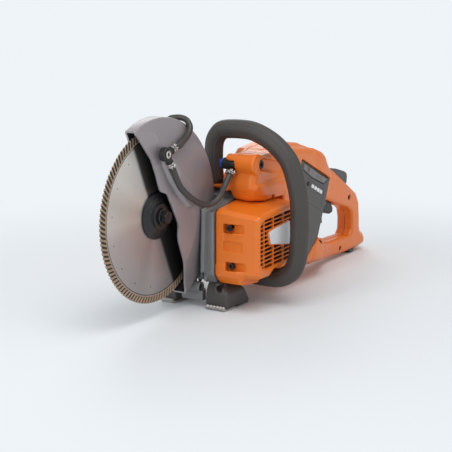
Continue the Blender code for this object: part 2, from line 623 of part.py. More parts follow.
bolt_room = cylinder("bolt_room", 8.0, (-141, 73, 55.3), (-141, 99, 55.3), seg=16, cutter=True)
red_hole = cylinder("vent_hole", 3.2, (-163, 70, 8.5), (-163, 99, 8.5), seg=10, cutter=True)
scr_hole = cylinder("screw_hole", 4.2, (-472, 46.0, -42), (-472, 60, -42), seg=12, cutter=True)
slot_ring = box("ring_slot", (-568, 32.6, -127), (-521.2, 37.4, -90), cutter=True)
cut(slot_ring, cylinder("ring_bar", 2.0, (-529, 25, -112.5), (-529, 45, -112.5), seg=12, cutter=True))
cut(solid, cylinder("foot_room", 11.0, (-493, 23.6, -128.5), (-493, 46.4, -128.5), seg=20, cutter=True))
join(solid, cylinder("foot_pin_form", 2.8, (-493, 21.2, -128.5), (-493, 48.8, -128.5), seg=10, cutter=True))
cut(solid, slot_ring)
cut(solid, leg_hole, button_hole, trig_slot, trig_slot2, lock_slot, valve_room, valve_room2, bolt_room, red_hole, scr_hole)
whole = to_mesh(solid, "housing_whole", cutter=True)
for nm, lo, hi in (("housing_left", SPLIT_Y - 200, SPLIT_Y + 0.15), ("housing_right", SPLIT_Y - 0.15, SPLIT_Y + 200)):
    half = bpy.data.objects.new(nm, whole.data.copy())
    finish(half, ORANGE)
    half.matrix_world = whole.matrix_world
    cut(half, box("split_" + nm, (-800, lo, -300), (200, hi, 300), cutter=True))

# ================================================================ dampers, valve, front handle
screw("damper_bolt", (-141, 74.0, 55.3), (-141, 77.4, 55.3), 5.6, 2.9, 3.0, FLANGEM)
valve = turned("water_valve", [(0, 49.6), (7.2, 49.6), (8.0, 48.6), (8.0, 30.0), (0, 30.0)], BLACK, (-123, 0, 56.0), 16)
kn = empty("water_knob_axis", (-123, 0, 56.0), datum)
knob = turned("water_knob", [(0, 29.6), (5.6, 29.6), (6.4, 28.8), (6.4, 26.6), (5.6, 25.8), (0, 25.8)], BLUE, (0, 0, 0), 16, parent=kn)
join(knob, box("knob_grip_form", (-1.6, 22.5, -5.8), (1.6, 27.0, 5.8), cutter=True, parent=kn))

HANDLE = [(-150, -3.2, 18.3), (-150, -3.6, 29), (-150, -4.6, 48), (-150, -4.8, 66), (-150, -3.2, 81), (-150, 3.0, 92),
          (-150, 13, 98.6), (-150, 40, 100.4), (-150, 62, 98.0), (-150, 88, 86.5), (-150, 108, 70.0), (-150, 120, 52), (-150, 130, 18),
          (-150, 133.0, -14), (-150, 132.2, -48), (-150, 129.3, -73), (-150, 120.5, -90.5), (-150, 104, -100.5), (-150, 84, -102.6),
          (-150, 62, -102.3), (-150, 43.4, -102.3)]
tube("front_handle", HANDLE, HANDLE_R, RUBBER, n=1, res=3)

# ================================================================ battery
bat = empty("battery_axis", (0, 0, 0), datum)
pack = outline("battery_pack", BATT, 2.0, 80.0, BATTM, parent=bat, bevel=3.0, seg=2)
e1 = Vector((BATT[1][0] - BATT[0][0], BATT[1][1] - BATT[0][1])).normalized()      # along the top edge, forwards
e2 = Vector((BATT[3][0] - BATT[0][0], BATT[3][1] - BATT[0][1])).normalized()      # down the rear edge


def on_pack(u, v):
    """A point u along the top edge from its rear corner and v down from it."""
    p = Vector(BATT[0]) + e1 * u + e2 * v
    return (p.x, p.y)


latch_pts = [on_pack(9, 3.0), on_pack(92, 3.0), on_pack(90, 12.0), on_pack(60, 15.0), on_pack(20, 13.0)]
cut(pack, outline("latch_room", offset(latch_pts, 0.5), 68.0, 90.0, cutter=True, parent=bat))
lat = empty("battery_catch_axis", (0, 0, 0), bat)
outline("battery_catch", latch_pts, 72.5, 80.6, LATCHM, parent=lat, bevel=1.2, seg=1)
disp = [on_pack(17, 22.5), on_pack(60, 22.5), on_pack(60, 30.5), on_pack(17, 30.5)]
outline("charge_display", disp, 80.4, 81.2, WHITE, parent=bat)
outline("battery_terminals", [on_pack(35, 55), on_pack(65, 55), on_pack(65, 75), on_pack(35, 75)], -1.0, 1.6, STEEL, parent=bat)
term_cut = outline("terminal_room", [on_pack(32, 52), on_pack(68, 52), on_pack(68, 78), on_pack(32, 78)], -10.0, 3.0, cutter=True)
for nm in ("housing_right",):
    cut(bpy.data.objects[nm], term_cut)
outline("terminal_block", [on_pack(33, 53), on_pack(67, 53), on_pack(67, 77), on_pack(33, 77)], -9.0, -1.6, BLACK)

# ================================================================ trigger, lockout, switch and electronics
TRIG = [(-356, -4), (-356, -15), (-366, -28), (-384, -44), (-402, -56), (-420, -62), (-429, -61), (-431, -54), (-424, -44),
        (-400, -30), (-376, -12), (-366, -3)]
tg = empty("trigger_axis", (TRIG_PIN[0], 35, TRIG_PIN[1]), datum)
trig = outline("throttle_trigger", TRIG, 28.0, 42.0, BLACK, bevel=1.5, seg=1)
cut(trig, cylinder("trigger_bore", 2.4, (TRIG_PIN[0], 20, TRIG_PIN[1]), (TRIG_PIN[0], 50, TRIG_PIN[1]), seg=12, cutter=True))
cylinder("trigger_pin", 2.0, (TRIG_PIN[0], 23.6, TRIG_PIN[1]), (TRIG_PIN[0], 46.4, TRIG_PIN[1]), STEEL, seg=12)
LOCK = [(-411, 6.0), (-418, 11.5), (-440, 8.5), (-470, 0.5), (-477, -3.0), (-480, -8.5), (-478.5, -20), (-474, -22), (-440, -8),
        (-418, -6.0), (-410.5, -4.0)]
lock = outline("lockout_lever", LOCK, 28.0, 42.0, BATTM, bevel=1.2, seg=1)
cut(lock, cylinder("lockout_bore", 2.0, (LOCK_PIN[0], 20, LOCK_PIN[1]), (LOCK_PIN[0], 50, LOCK_PIN[1]), seg=12, cutter=True))
cylinder("lockout_pin", 1.6, (LOCK_PIN[0], 25.4, LOCK_PIN[1]), (LOCK_PIN[0], 44.6, LOCK_PIN[1]), STEEL, seg=12)
box("trigger_switch", (-404, 30.5, -14), (-388, 39.5, -5), BLACK)


def coil(x, y, z0, z1, r, turns, n=8):
    return [(x + r * math.cos(2 * math.pi * i / n), y + r * math.sin(2 * math.pi * i / n),
             z0 + (z1 - z0) * i / (turns * n)) for i in range(int(turns * n) + 1)]


tube("trigger_spring", coil(-417, 35, -36.5, -15.0, 3.2, 3), 0.6, STEEL, n=0, res=0)
tube("lockout_spring", coil(-462, 35, -50.0, -19.5, 3.2, 3), 0.6, STEEL, n=0, res=0)
box("control_board", (-330, -30, -40), (-230, -14, 20), BOARD)
pb = cylinder("power_button", 8.0, (-300, 8.5, 41), (-300, 18.0, 41), RUBBER, seg=20)

# ================================================================ water kit
splitter = turned("hose_splitter", [(0, 30.0), (3.0, 30.0), (3.2, 30.8), (4.6, 30.8), (4.8, 30.0), (8.2, 30.0), (9.2, 29.0), (9.2, 20.6), (0, 20.6)],
                  BLACK, (10.5, 0, 83.3), 14)
ANG = math.radians
up_dir = Vector((-0.96, -0.02, 0.26))
lo_dir = Vector((-0.56, 0.06, -0.82))
C0 = Vector((10.5, 25.6, 83.3))
for nm, d in (("a", up_dir), ("b", lo_dir)):
    d = d.normalized()
    sp = cylinder("spigot_form_" + nm, 2.4, C0 + d * 5, C0 + d * 19, seg=8, cutter=True)
    join(splitter, sp)
U0 = C0 + up_dir.normalized() * 12.5
L0 = C0 + lo_dir.normalized() * 12.5


def hose(name, pts, first):
    """A rubber hose, bored at its start for the spigot it sits on."""
    h = tube(name, pts, 4.0, RUBBER, n=2, res=2)
    a, b = first
    cut(h, cylinder(name + "_bore", 2.8, a, b, seg=8, cutter=True))
    return h


up_path = [U0, C0 + up_dir.normalized() * 17, C0 + up_dir.normalized() * 22, (-20, 24.6, 90.5), (-35, 22.0, 95.5), (-49.5, 20.0, 102.8),
           (-58, 17.0, 111.0), (-61.5, 10.0, 118.6), (-61.5, 2.0, 121.9), (-58.5, -6, 122.2), (-56, -13, 120.6), (-52, -18, 114.0), (-47, -19.5, 105)]
lo_path = [L0, C0 + lo_dir.normalized() * 17, C0 + lo_dir.normalized() * 22, (-8.0, 28.5, 51), (-15, 30.5, 38), (-25.5, 33.0, 27.5), (-38, 35.0, 18.8),
           (-50.5, 37.5, 12.0), (-64, 41.0, 8.6), (-75.5, 44.5, 11.2), (-85, 46.8, 18.5), (-93, 48.0, 29.0), (-104, 48.0, 40.5), (-112, 47.4, 46.8)]
hose("hose_upper", up_path, (C0 + up_dir.normalized() * 4, C0 + up_dir.normalized() * 20.5))
hose("hose_lower", lo_path, (C0 + lo_dir.normalized() * 4, C0 + lo_dir.normalized() * 20.5))


def clamp(name, p, d, r=4.6, w=5.0, t=1.0, steps=12):
    """A band clamp round a hose at p along d."""
    d = Vector(d).normalized()
    prof = [(r + t, w / 2), (r + t, -w / 2), (r, -w / 2), (r, w / 2)]
    ob = turned(name, prof, STEEL, p, steps, closed=True)
    ob.rotation_euler = d.to_track_quat('Z', 'Y').to_euler()
    return ob


clamp("hose_clamp_upper", C0 + up_dir.normalized() * 16.5, up_dir)
clamp("hose_clamp_lower", C0 + lo_dir.normalized() * 16.5, lo_dir)
clamp("hose_clamp_valve", (-108.0, 47.7, 43.7), (-0.77, -0.05, 0.63), r=4.5)

# ================================================================ feet
fb = box("foot_bracket", (-87, -12, -129), (-77, 23, -112), CASTM, bevel=1.0)
ft = cylinder("foot_tube_form", 7.5, (-80, -18.6, -110.5), (-80, 19.5, -110.5), seg=20, cutter=True)
join(fb, ft)
join(fb, box("bracket_web_form", (-106, -8, -118), (-80, -4, -105.2), cutter=True))
cut(fb, cylinder("foot_tube_bore", 5.4, (-80, -30, -110.5), (-80, 30, -110.5), seg=16, cutter=True))
FOOT = [(-74.6, -134.6), (-75, -113), (-80, -106), (-86, -105.2), (-94, -105.2), (-104, -107), (-118, -109), (-130, -126), (-134, -134),
        (-130, -137.0), (-104, -137.0), (-101, -134.6)]
for nm, y0, y1 in (("left", 29.0, 64.0), ("right", -45.0, -20.0)):
    ft = outline("front_foot_" + nm, FOOT, y0, y1, BATTM, bevel=1.5, seg=1)
    cut(ft, cylinder("foot_hole_" + nm, 5.2, (-94, y0 - 5, -115), (-94, y1 + 5, -115), seg=16, cutter=True))
    sk = outline("skid_plate_" + nm, [(-99.5, -138), (-99.5, -135.2), (-74.2, -135.2), (-73.2, -130.5), (-70.2, -130.5), (-71.0, -135.5), (-74, -138)],
                 y0 + 2.0, y1 - 2.0, STEEL)
foot_out = [(x, max(z, -138.0)) for x, z in circle(-493, -128.5, 10.5, 20) if z > -138.0] 
low_pts = [(-493 + 4.4, -138.0), (-493 - 4.4, -138.0)]
foot_out = sorted(foot_out + low_pts, key=lambda p: math.atan2(p[1] + 128.5, p[0] + 493))
outline("rear_foot", foot_out, 24.0, 46.0, RUBBER, holes=(circle(-493, -128.5, 3.2, 10),))

# ================================================================ lanyard ring and handle screws
lr = empty("lanyard_axis", (-529, 35, -112.5), datum)
RING_C = (-529 - 3.8, 35.0, -112.5 + 3.2)
tube("lanyard_ring", [(RING_C[0] + 8.6 * math.cos(2 * math.pi * i / 16), 35.0, RING_C[2] + 8.6 * math.sin(2 * math.pi * i / 16)) for i in range(16)],
     1.2, STEEL, n=0, res=0, cyclic=True)
screw("handle_screw", (-472, 44.2, -42), (-472, 47.2, -42), 3.7, 2.0, 2.6, FLANGEM)
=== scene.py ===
"""Looks of the battery cut-off saw. Shapes are given in millimetres from the blade's centre:
+X forwards, +Y to the left, the side with the blade's bolt, and +Z up. Most moulded pieces are
distance fields, built from simple solids with blended joins and then meshed."""

import copy
import itertools
import json
import math

import bpy
import bmesh
import numpy as np
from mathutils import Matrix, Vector


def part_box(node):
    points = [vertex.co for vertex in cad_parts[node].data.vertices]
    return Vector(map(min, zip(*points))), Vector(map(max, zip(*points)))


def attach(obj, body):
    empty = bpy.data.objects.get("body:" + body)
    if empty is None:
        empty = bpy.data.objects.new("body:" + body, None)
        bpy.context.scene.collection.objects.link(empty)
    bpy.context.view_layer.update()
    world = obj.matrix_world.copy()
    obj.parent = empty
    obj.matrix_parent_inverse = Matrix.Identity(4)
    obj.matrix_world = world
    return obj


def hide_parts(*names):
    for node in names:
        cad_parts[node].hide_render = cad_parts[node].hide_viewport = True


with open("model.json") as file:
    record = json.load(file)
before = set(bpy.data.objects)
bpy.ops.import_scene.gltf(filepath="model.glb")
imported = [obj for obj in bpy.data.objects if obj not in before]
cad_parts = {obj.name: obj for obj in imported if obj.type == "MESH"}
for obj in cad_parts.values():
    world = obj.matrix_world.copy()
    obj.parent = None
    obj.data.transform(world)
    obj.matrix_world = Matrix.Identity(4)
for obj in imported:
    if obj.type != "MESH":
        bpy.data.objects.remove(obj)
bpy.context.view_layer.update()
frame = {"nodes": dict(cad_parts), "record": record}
F32 = np.float32

# ================================================================ shared dimensions
_low, _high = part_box("diamond_blade")
BLADE_CENTRE = np.array([(_low[i] + _high[i]) / 2 * 1000 for i in range(3)])
BLADE_R = 115.0
GUARD_R = 128.5
MOTOR = (-132.0, -46.0)         # x, z of the motor's axle
GROUND_Z = -138.0
HOUSING_Y = 43.3                # where the motor cover's taper starts
COVER_DEPTH = 67.2              # how far the cover reaches out from there
HANDLE_X = -150                 # the plane of the front handle


# ================================================================ distance-field modelling
# A solid is (distance function, low corner, high corner); distances are negative inside.
def smooth_min(a, b, blend):
    if blend <= 0:
        return np.minimum(a, b)
    h = np.clip(0.5 + 0.5 * (b - a) / blend, 0, 1)
    return b * (1 - h) + a * h - blend * h * (1 - h)


def outline_distance(points, x, z):
    """Signed distance from a closed polygon."""
    x, z = np.broadcast_arrays(np.asarray(x, F32), np.asarray(z, F32))
    squared = np.full(x.shape, 1e9, F32)
    inside = np.zeros(x.shape, bool)
    for (ax, az), (bx, bz) in zip(points[-1:] + points[:-1], points):
        ex, ez = bx - ax, bz - az
        wx, wz = x - ax, z - az
        t = np.clip((wx * ex + wz * ez) / (ex * ex + ez * ez), 0, 1)
        squared = np.minimum(squared, (wx - ex * t) ** 2 + (wz - ez * t) ** 2)
        above, below, left = z >= az, z < bz, (ex * wz) > (ez * wx)
        inside ^= (above & below & left) | (~above & ~below & ~left)
    distance = np.sqrt(squared)
    return np.where(inside, -distance, distance)


def round_join(a, b, radius):
    return (np.minimum(np.maximum(a, b), 0) + np.hypot(np.maximum(a, 0), np.maximum(b, 0))
            - radius)


def dot(vector, x, y, z):
    return x * vector[0] + y * vector[1] + z * vector[2]


def prism(points, y0, y1, r=0.0, warp=None, grow=0.0):
    """A polygon of (x, z) from y0 to y1, with every edge rounded by r."""
    def distance(x, y, z):
        if warp:
            x, z = warp(x, y, z)
        return round_join(outline_distance(points, x, z) + (r - grow),
                          np.abs(y - (y0 + y1) / 2) - ((y1 - y0) / 2 - r), r)
    xs, zs = zip(*points)
    margin = 12 if warp else 1 + grow
    return (distance, (min(xs) - margin, y0, min(zs) - margin),
            (max(xs) + margin, y1, max(zs) + margin))


def prism_x(points, x0, x1, r):
    """A polygon of (y, z) from x0 to x1."""
    def distance(x, y, z):
        return round_join(outline_distance(points, y, z) + r,
                          np.abs(x - (x0 + x1) / 2) - ((x1 - x0) / 2 - r), r)
    ys, zs = zip(*points)
    return distance, (x0, min(ys), min(zs)), (x1, max(ys), max(zs))


def flared_prism(points, x_from, x_to, y_from, y_to, r):
    """A prism from y = 22 whose outer face eases from y_from to y_to between two x."""
    y_inner = 22

    def distance(x, y, z):
        t = np.clip((x - x_from) / (x_to - x_from), 0, 1)
        outer = y_from + (y_to - y_from) * t * t * (3 - 2 * t)
        return round_join(outline_distance(points, x, z) + r,
                          np.maximum(y - (outer - r), (y_inner + r) - y), r)
    xs, zs = zip(*points)
    return distance, (min(xs), 20, min(zs)), (max(xs), max(y_from, y_to), max(zs))


def rod(start, end, radius, r=0.0, end_radius=None):
    """A cylinder, or a cone when it has an end radius, with its rims rounded by r."""
    start, end = np.array(start, float), np.array(end, float)
    length = float(np.linalg.norm(end - start))
    axis = ((end - start) / length).tolist()
    sx, sy, sz = start.tolist()
    widest = max(radius, end_radius or 0)

    def distance(x, y, z):
        px, py, pz = x - sx, y - sy, z - sz
        along = dot(axis, px, py, pz)
        off = np.sqrt(np.maximum(px * px + py * py + pz * pz - along * along, 0))
        size = radius
        if end_radius is not None:
            size = radius + (end_radius - radius) * np.clip(along / length, 0, 1)
        return round_join(off - (size - F32(r)),
                          np.abs(along - length / 2) - (length / 2 - r), r)
    return distance, np.minimum(start, end) - widest, np.maximum(start, end) + widest


def block(centre, half, r=0.0, ex=(1, 0, 0), ez=(0, 0, 1)):
    """A rounded box with its local x along ex and local z along ez."""
    ex = np.array(ex, float) / np.linalg.norm(ex)
    ez = np.array(ez, float)
    ez = ez - ex * ez.dot(ex)
    ez /= np.linalg.norm(ez)
    ey = np.cross(ez, ex)
    axes = [e.tolist() for e in (ex, ey, ez)]

    def distance(x, y, z):
        px, py, pz = x - centre[0], y - centre[1], z - centre[2]
        q = [np.abs(dot(e, px, py, pz)) - (h - r) for e, h in zip(axes, half)]
        outside = np.sqrt(np.maximum(q[0], 0) ** 2 + np.maximum(q[1], 0) ** 2
                          + np.maximum(q[2], 0) ** 2)
        return outside + np.minimum(np.maximum(q[0], np.maximum(q[1], q[2])), 0) - r
    reach = np.abs(ex) * half[0] + np.abs(ey) * half[1] + np.abs(ez) * half[2]
    return distance, np.array(centre) - reach, np.array(centre) + reach


def bead(points, radius):
    """A round bead along a polyline."""
    stations = np.array([tuple(p) for p in points], float)

    def distance(x, y, z):
        best = None
        for a, b in zip(stations, stations[1:]):
            e = (b - a).tolist()
            length2 = float((b - a).dot(b - a))
            px, py, pz = (v - s for v, s in zip((x, y, z), a.tolist()))
            t = np.clip(dot(e, px, py, pz) / length2, 0, 1)
            d = np.sqrt((px - e[0] * t) ** 2 + (py - e[1] * t) ** 2 + (pz - e[2] * t) ** 2)
            best = d if best is None else np.minimum(best, d)
        return best - radius
    return distance, stations.min(0) - radius, stations.max(0) + radius


class Field:
    """Signed distances on a regular grid, far outside everywhere to begin with."""
    FAR = 60.0

    def __init__(self, low, high, step):
        self.step = step
        self.low = np.array(low, float)
        counts = [int(math.ceil((b - a) / step)) + 1 for a, b in zip(low, high)]
        self.axes = [(a + step * np.arange(n)).astype(F32) for a, n in zip(low, counts)]
        self.values = np.full(counts, self.FAR, F32)

    def like(self, values=None):
        """A field on the same grid, empty unless it is given values."""
        twin = copy.copy(self)
        twin.values = np.full(self.values.shape, self.FAR, F32) if values is None else values
        return twin

    def _evaluate(self, solid, blend):
        """The part of the grid a solid can touch, and the solid's distances there."""
        distance, low, high = solid
        pad = max(5 * self.step, 1.5 * blend + 3 * self.step)
        part = []
        for i, axis in enumerate(self.axes):
            a = max(0, int(math.floor((low[i] - pad - self.low[i]) / self.step)))
            b = min(len(axis), int(math.ceil((high[i] + pad - self.low[i]) / self.step)) + 1)
            part.append(slice(a, max(a, b)))
        return tuple(part), distance(*np.ix_(*[a[s] for a, s in zip(self.axes, part)]))

    def add(self, solid, blend=0.0):
        part, distance = self._evaluate(solid, blend)
        self.values[part] = smooth_min(self.values[part], distance, blend)

    def cut(self, solid, blend=0.0):
        part, distance = self._evaluate(solid, blend)
        self.values[part] = -smooth_min(-self.values[part], distance, blend)

    def keep(self, distance):
        """Drop everything outside a distance function."""
        self.values = np.maximum(self.values, distance(*np.ix_(*self.axes)))

    def sample(self, points):
        f = self.values
        place = np.clip((points - self.low) / self.step, 0, np.array(f.shape) - 1.001)
        cell = place.astype(int)
        tx, ty, tz = (place - cell).astype(F32).T
        x, y, z = cell.T

        def along_x(dy, dz):
            return f[x, y + dy, z + dz] * (1 - tx) + f[x + 1, y + dy, z + dz] * tx
        return ((along_x(0, 0) * (1 - ty) + along_x(1, 0) * ty) * (1 - tz)
                + (along_x(0, 1) * (1 - ty) + along_x(1, 1) * ty) * tz)

    def gradient(self, points):
        e = 0.75 * self.step
        return np.stack([self.sample(points + d * e) - self.sample(points - d * e)
                         for d in np.eye(3)], 1) / (2 * e)

    def mesh(self):
        """Closed quad mesh of the zero surface, with normals from the field."""
        f, step = self.values, self.step
        for side in (f[0], f[-1], f[:, 0], f[:, -1], f[:, :, 0], f[:, :, -1]):
            np.maximum(side, 0.3 * step, out=side)
        f[f == 0] = 1e-5
        inside = f < 0
        nx, ny, nz = shape = tuple(n - 1 for n in f.shape)
        corners = list(itertools.product((0, 1), repeat=3))
        count = np.zeros(shape, np.uint8)
        for a, b, c in corners:
            count += inside[a:a + nx, b:b + ny, c:c + nz]
        # one vertex in each cell the surface crosses, at the mean of its edge crossings
        cells = np.nonzero((count > 0) & (count < 8))
        total = len(cells[0])
        index = np.full(shape, -1, np.int32)
        index[cells] = np.arange(total)
        points, crossings = np.zeros((total, 3)), np.zeros(total)
        for near in corners:
            for axis in range(3):
                if near[axis]:
                    continue
                far = list(near)
                far[axis] = 1
                fa = f[tuple(c + d for c, d in zip(cells, near))]
                fb = f[tuple(c + d for c, d in zip(cells, far))]
                hit = (fa < 0) != (fb < 0)
                crossing = np.tile(np.array(near, float), (total, 1))
                crossing[:, axis] += np.where(hit, fa / np.where(hit, fa - fb, 1), 0)
                points += crossing * hit[:, None]
                crossings += hit
        points = (points / crossings[:, None] + np.stack(cells, 1)) * step + self.low
        # pull the vertices onto the surface, except where the field is too flat
        for _ in range(2):
            slope = self.gradient(points)
            size = np.linalg.norm(slope, axis=1)
            move = (self.sample(points)[:, None] * slope
                    / np.maximum(size, 0.35)[:, None] ** 2)
            points = points - np.clip(move, -0.35 * step, 0.35 * step) * (size > 0.35)[:, None]
        # one quad round each grid edge the surface crosses
        quads = []
        for axis, (u, v) in enumerate([(1, 2), (2, 0), (0, 1)]):
            first, second = [slice(None)] * 3, [slice(None)] * 3
            first[axis], second[axis] = slice(0, -1), slice(1, None)
            a, b = inside[tuple(first)], inside[tuple(second)]
            edges = np.nonzero(a != b)
            base, starts_inside = np.stack(edges, 1), a[edges]
            good = (base[:, u] > 0) & (base[:, v] > 0)
            good &= (base[:, u] < shape[u]) & (base[:, v] < shape[v])
            base, starts_inside = base[good], starts_inside[good]
            quad = []
            for du, dv in ((-1, -1), (0, -1), (0, 0), (-1, 0)):
                cell = base.copy()
                cell[:, u] += du
                cell[:, v] += dv
                quad.append(index[tuple(cell.T)])
            quad = np.stack(quad, 1)
            quad[~starts_inside] = quad[~starts_inside][:, ::-1]
            quads.append(quad)
        normals = self.gradient(points)
        normals /= np.maximum(np.linalg.norm(normals, axis=1), 1e-6)[:, None]
        return points, np.concatenate(quads), normals


# ================================================================ mesh objects
def put(name, verts, faces, materials, slot, replaces=None, body="chassis", normals=None,
        sharp=None, face_mat=None):
    """Make an object and hang it on a body; spindle pieces have their origin on the blade."""
    origin = BLADE_CENTRE if body == "spindle" else np.zeros(3)
    points = (np.asarray(verts, float) + BLADE_CENTRE - origin) / 1000.0
    mesh = bpy.data.meshes.new(name)
    if isinstance(faces, np.ndarray):
        mesh.vertices.add(len(points))
        mesh.vertices.foreach_set("co", points.astype(F32).ravel())
        mesh.loops.add(faces.size)
        mesh.loops.foreach_set("vertex_index", faces.astype(np.int32).ravel())
        mesh.polygons.add(len(faces))
        starts = np.arange(len(faces)) * faces.shape[1]
        mesh.polygons.foreach_set("loop_start", starts.astype(np.int32))
        mesh.update(calc_edges=True)
        mesh.validate()
    else:
        mesh.from_pydata([tuple(p) for p in points], [], faces)
        mesh.update()
    mesh.shade_smooth()
    if sharp:
        mesh.set_sharp_from_angle(angle=math.radians(sharp))
    for material in materials if isinstance(materials, list) else [materials]:
        mesh.materials.append(material)
    if face_mat is not None:
        mesh.polygons.foreach_set("material_index", np.asarray(face_mat, np.int32))
    if normals is not None:
        mesh.normals_split_custom_set_from_vertices(normals.astype(F32))
    ob = bpy.data.objects.new(name, mesh)
    bpy.context.scene.collection.objects.link(ob)
    ob.location = Vector(origin / 1000.0)
    bpy.context.view_layer.update()
    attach(ob, body)
    if replaces:
        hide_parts(replaces)
    return ob


def put_outward(name, verts, faces, materials, slot, **options):
    """put, with the faces turned outwards."""
    mesh = put(name, verts, faces, materials, slot, **options).data
    bm = bmesh.new()
    bm.from_mesh(mesh)
    bmesh.ops.recalc_face_normals(bm, faces=bm.faces)
    bm.to_mesh(mesh)
    bm.free()


def put_field(name, field, material, slot, replaces=None, body="chassis", turn=None, at=None):
    """Mesh a field, turned and moved into place where it was built about its own zero."""
    points, quads, normals = field.mesh()
    if turn is not None:
        points, normals = points @ turn + np.array(at), normals @ turn
    put(name, points, quads, material, slot, replaces, body, normals)


def fillet(profile, radius, steps, closed=False):
    """Round the corners of a polyline profile."""
    points = [np.array(p, float) for p in profile]
    out = []
    for i, b in enumerate(points):
        if not closed and i in (0, len(points) - 1):
            out.append(b)
            continue
        a, c = points[i - 1], points[(i + 1) % len(points)]
        la, lc = np.linalg.norm(a - b), np.linalg.norm(c - b)
        d = min(radius, la * 0.45, lc * 0.45)
        p, q = b + (a - b) / la * d, b + (c - b) / lc * d
        for k in range(steps + 1):
            t = k / steps
            out.append((1 - t) ** 2 * p + 2 * t * (1 - t) * b + t * t * q)
    return [tuple(v) for v in out]


def circle(x, z, r, n):
    return [(x + r * math.cos(2 * math.pi * i / n), z + r * math.sin(2 * math.pi * i / n))
            for i in range(n)]


def hexagon(r, turn=0.0):
    return [(r * math.cos(math.pi / 3 * i + turn), r * math.sin(math.pi / 3 * i + turn))
            for i in range(6)]


def grid_faces(rows, size, rows_close=False, row_closes=True):
    """Quads between successive rows of `size` vertices each."""
    return [(i * size + k, (i + 1) % rows * size + k,
             (i + 1) % rows * size + (k + 1) % size, i * size + (k + 1) % size)
            for i in range(rows if rows_close else rows - 1)
            for k in range(size if row_closes else size - 1)]


def lathe(name, profile, centre, material, slot, steps, axis=(0, 1, 0), closed=False,
          **options):
    """profile: (radius, height) points; height runs along axis from centre."""
    turn = Vector((0, 0, 1)).rotation_difference(Vector(axis).normalized()).to_matrix()
    verts, rows = [], []
    for r, h in profile:
        count = 1 if r < 1e-6 else steps
        rows.append(range(len(verts), len(verts) + count))
        for x, y in circle(0, 0, r, steps)[:count]:
            verts.append(tuple(Vector(centre) + turn @ Vector((x, y, h))))
    faces = []
    for a, b in zip(rows, rows[1:] + (rows[:1] if closed else [])):
        for k in range(steps):
            k2 = (k + 1) % steps
            if len(a) == 1:
                faces.append((a[0], b[k], b[k2]))
            elif len(b) == 1:
                faces.append((a[k], b[0], a[k2]))
            else:
                faces.append((a[k], b[k], b[k2], a[k2]))
    put_outward(name, verts, faces, material, slot, sharp=40, **options)


def smooth_path(points, n):
    """A Catmull-Rom curve through the points, n steps to a span."""
    p = [Vector(q) for q in points]
    p = [2 * p[0] - p[1]] + p + [2 * p[-1] - p[-2]]
    out = []
    for a, b, c, d in zip(p, p[1:], p[2:], p[3:]):
        for k in range(n):
            t = k / n
            out.append(0.5 * ((2 * b) + (c - a) * t + (2 * a - 5 * b + 4 * c - d) * t * t
                              + (3 * b - a - 3 * c + d) * t ** 3))
    out.append(p[-2])
    return out


def even_path(points, spacing):
    """Resample a path at even spacing."""
    p = np.array([tuple(q) for q in points])
    run = np.concatenate([[0], np.cumsum(np.linalg.norm(np.diff(p, axis=0), axis=1))])
    spans = max(2, int(round(run[-1] / spacing)))
    return [Vector([np.interp(s, run, p[:, i]) for i in range(3)])
            for s in np.linspace(0, run[-1], spans + 1)]


def pipe(name, path, section, material, ref, replaces):
    """Sweep a section of (u, v) points along a path; v lies along ref, u across it."""
    verts = []
    last = len(path) - 1
    for i, p in enumerate(path):
        tangent = (path[min(i + 1, last)] - path[max(i - 1, 0)]).normalized()
        along = Vector(ref) - tangent * Vector(ref).dot(tangent)
        along.normalize()
        across = tangent.cross(along)
        verts += [tuple(p + across * u + along * v) for u, v in section]
    size = len(section)
    faces = grid_faces(len(path), size)
    faces.append(tuple(range(size)))
    faces.append(tuple(reversed(range(last * size, (last + 1) * size))))
    put_outward(name, verts, faces, material, "dark_rubber", replaces=replaces)


# ================================================================ material building
def set_inputs(tree, node, inputs):
    """Link the inputs given as sockets and set the others."""
    for key, value in inputs.items():
        if isinstance(value, bpy.types.NodeSocket):
            tree.links.new(value, node.inputs[key])
        else:
            node.inputs[key].default_value = value


def add_node(tree, kind, inputs=None, **settings):
    node = tree.nodes.new("ShaderNode" + kind)
    for key, value in settings.items():
        setattr(node, key, value)
    set_inputs(tree, node, inputs or {})
    return node


def noise(tree, vector, scale, detail):
    return add_node(tree, "TexNoise", {"Vector": vector, "Scale": scale,
                                       "Detail": detail}).outputs["Fac"]


def remap(tree, value, source=(0.0, 1.0), target=(0.0, 1.0), **settings):
    return add_node(tree, "MapRange", {
        "Value": value, "From Min": source[0], "From Max": source[1],
        "To Min": target[0], "To Max": target[1]}, **settings).outputs["Result"]


def mix(tree, factor, a, b, **settings):
    return add_node(tree, "Mix", {"Factor": factor, "A": a, "B": b},
                    data_type='RGBA', **settings).outputs["Result"]


def calc(tree, operation, *values):
    return add_node(tree, "Math", dict(enumerate(values)), operation=operation).outputs["Value"]


def scaled(tree, color, factor):
    return add_node(tree, "VectorMath", {0: color, "Scale": factor},
                    operation='SCALE').outputs["Vector"]


def length_of(tree, vector):
    return add_node(tree, "VectorMath", {0: vector}, operation='LENGTH').outputs["Value"]


def bump(tree, height, strength, distance):
    return add_node(tree, "Bump", {"Height": height, "Strength": strength,
                                   "Distance": distance}).outputs["Normal"]


def new_material(name):
    material = bpy.data.materials.new(name)
    material.use_nodes = True
    tree = material.node_tree
    return material, tree, tree.nodes["Principled BSDF"]


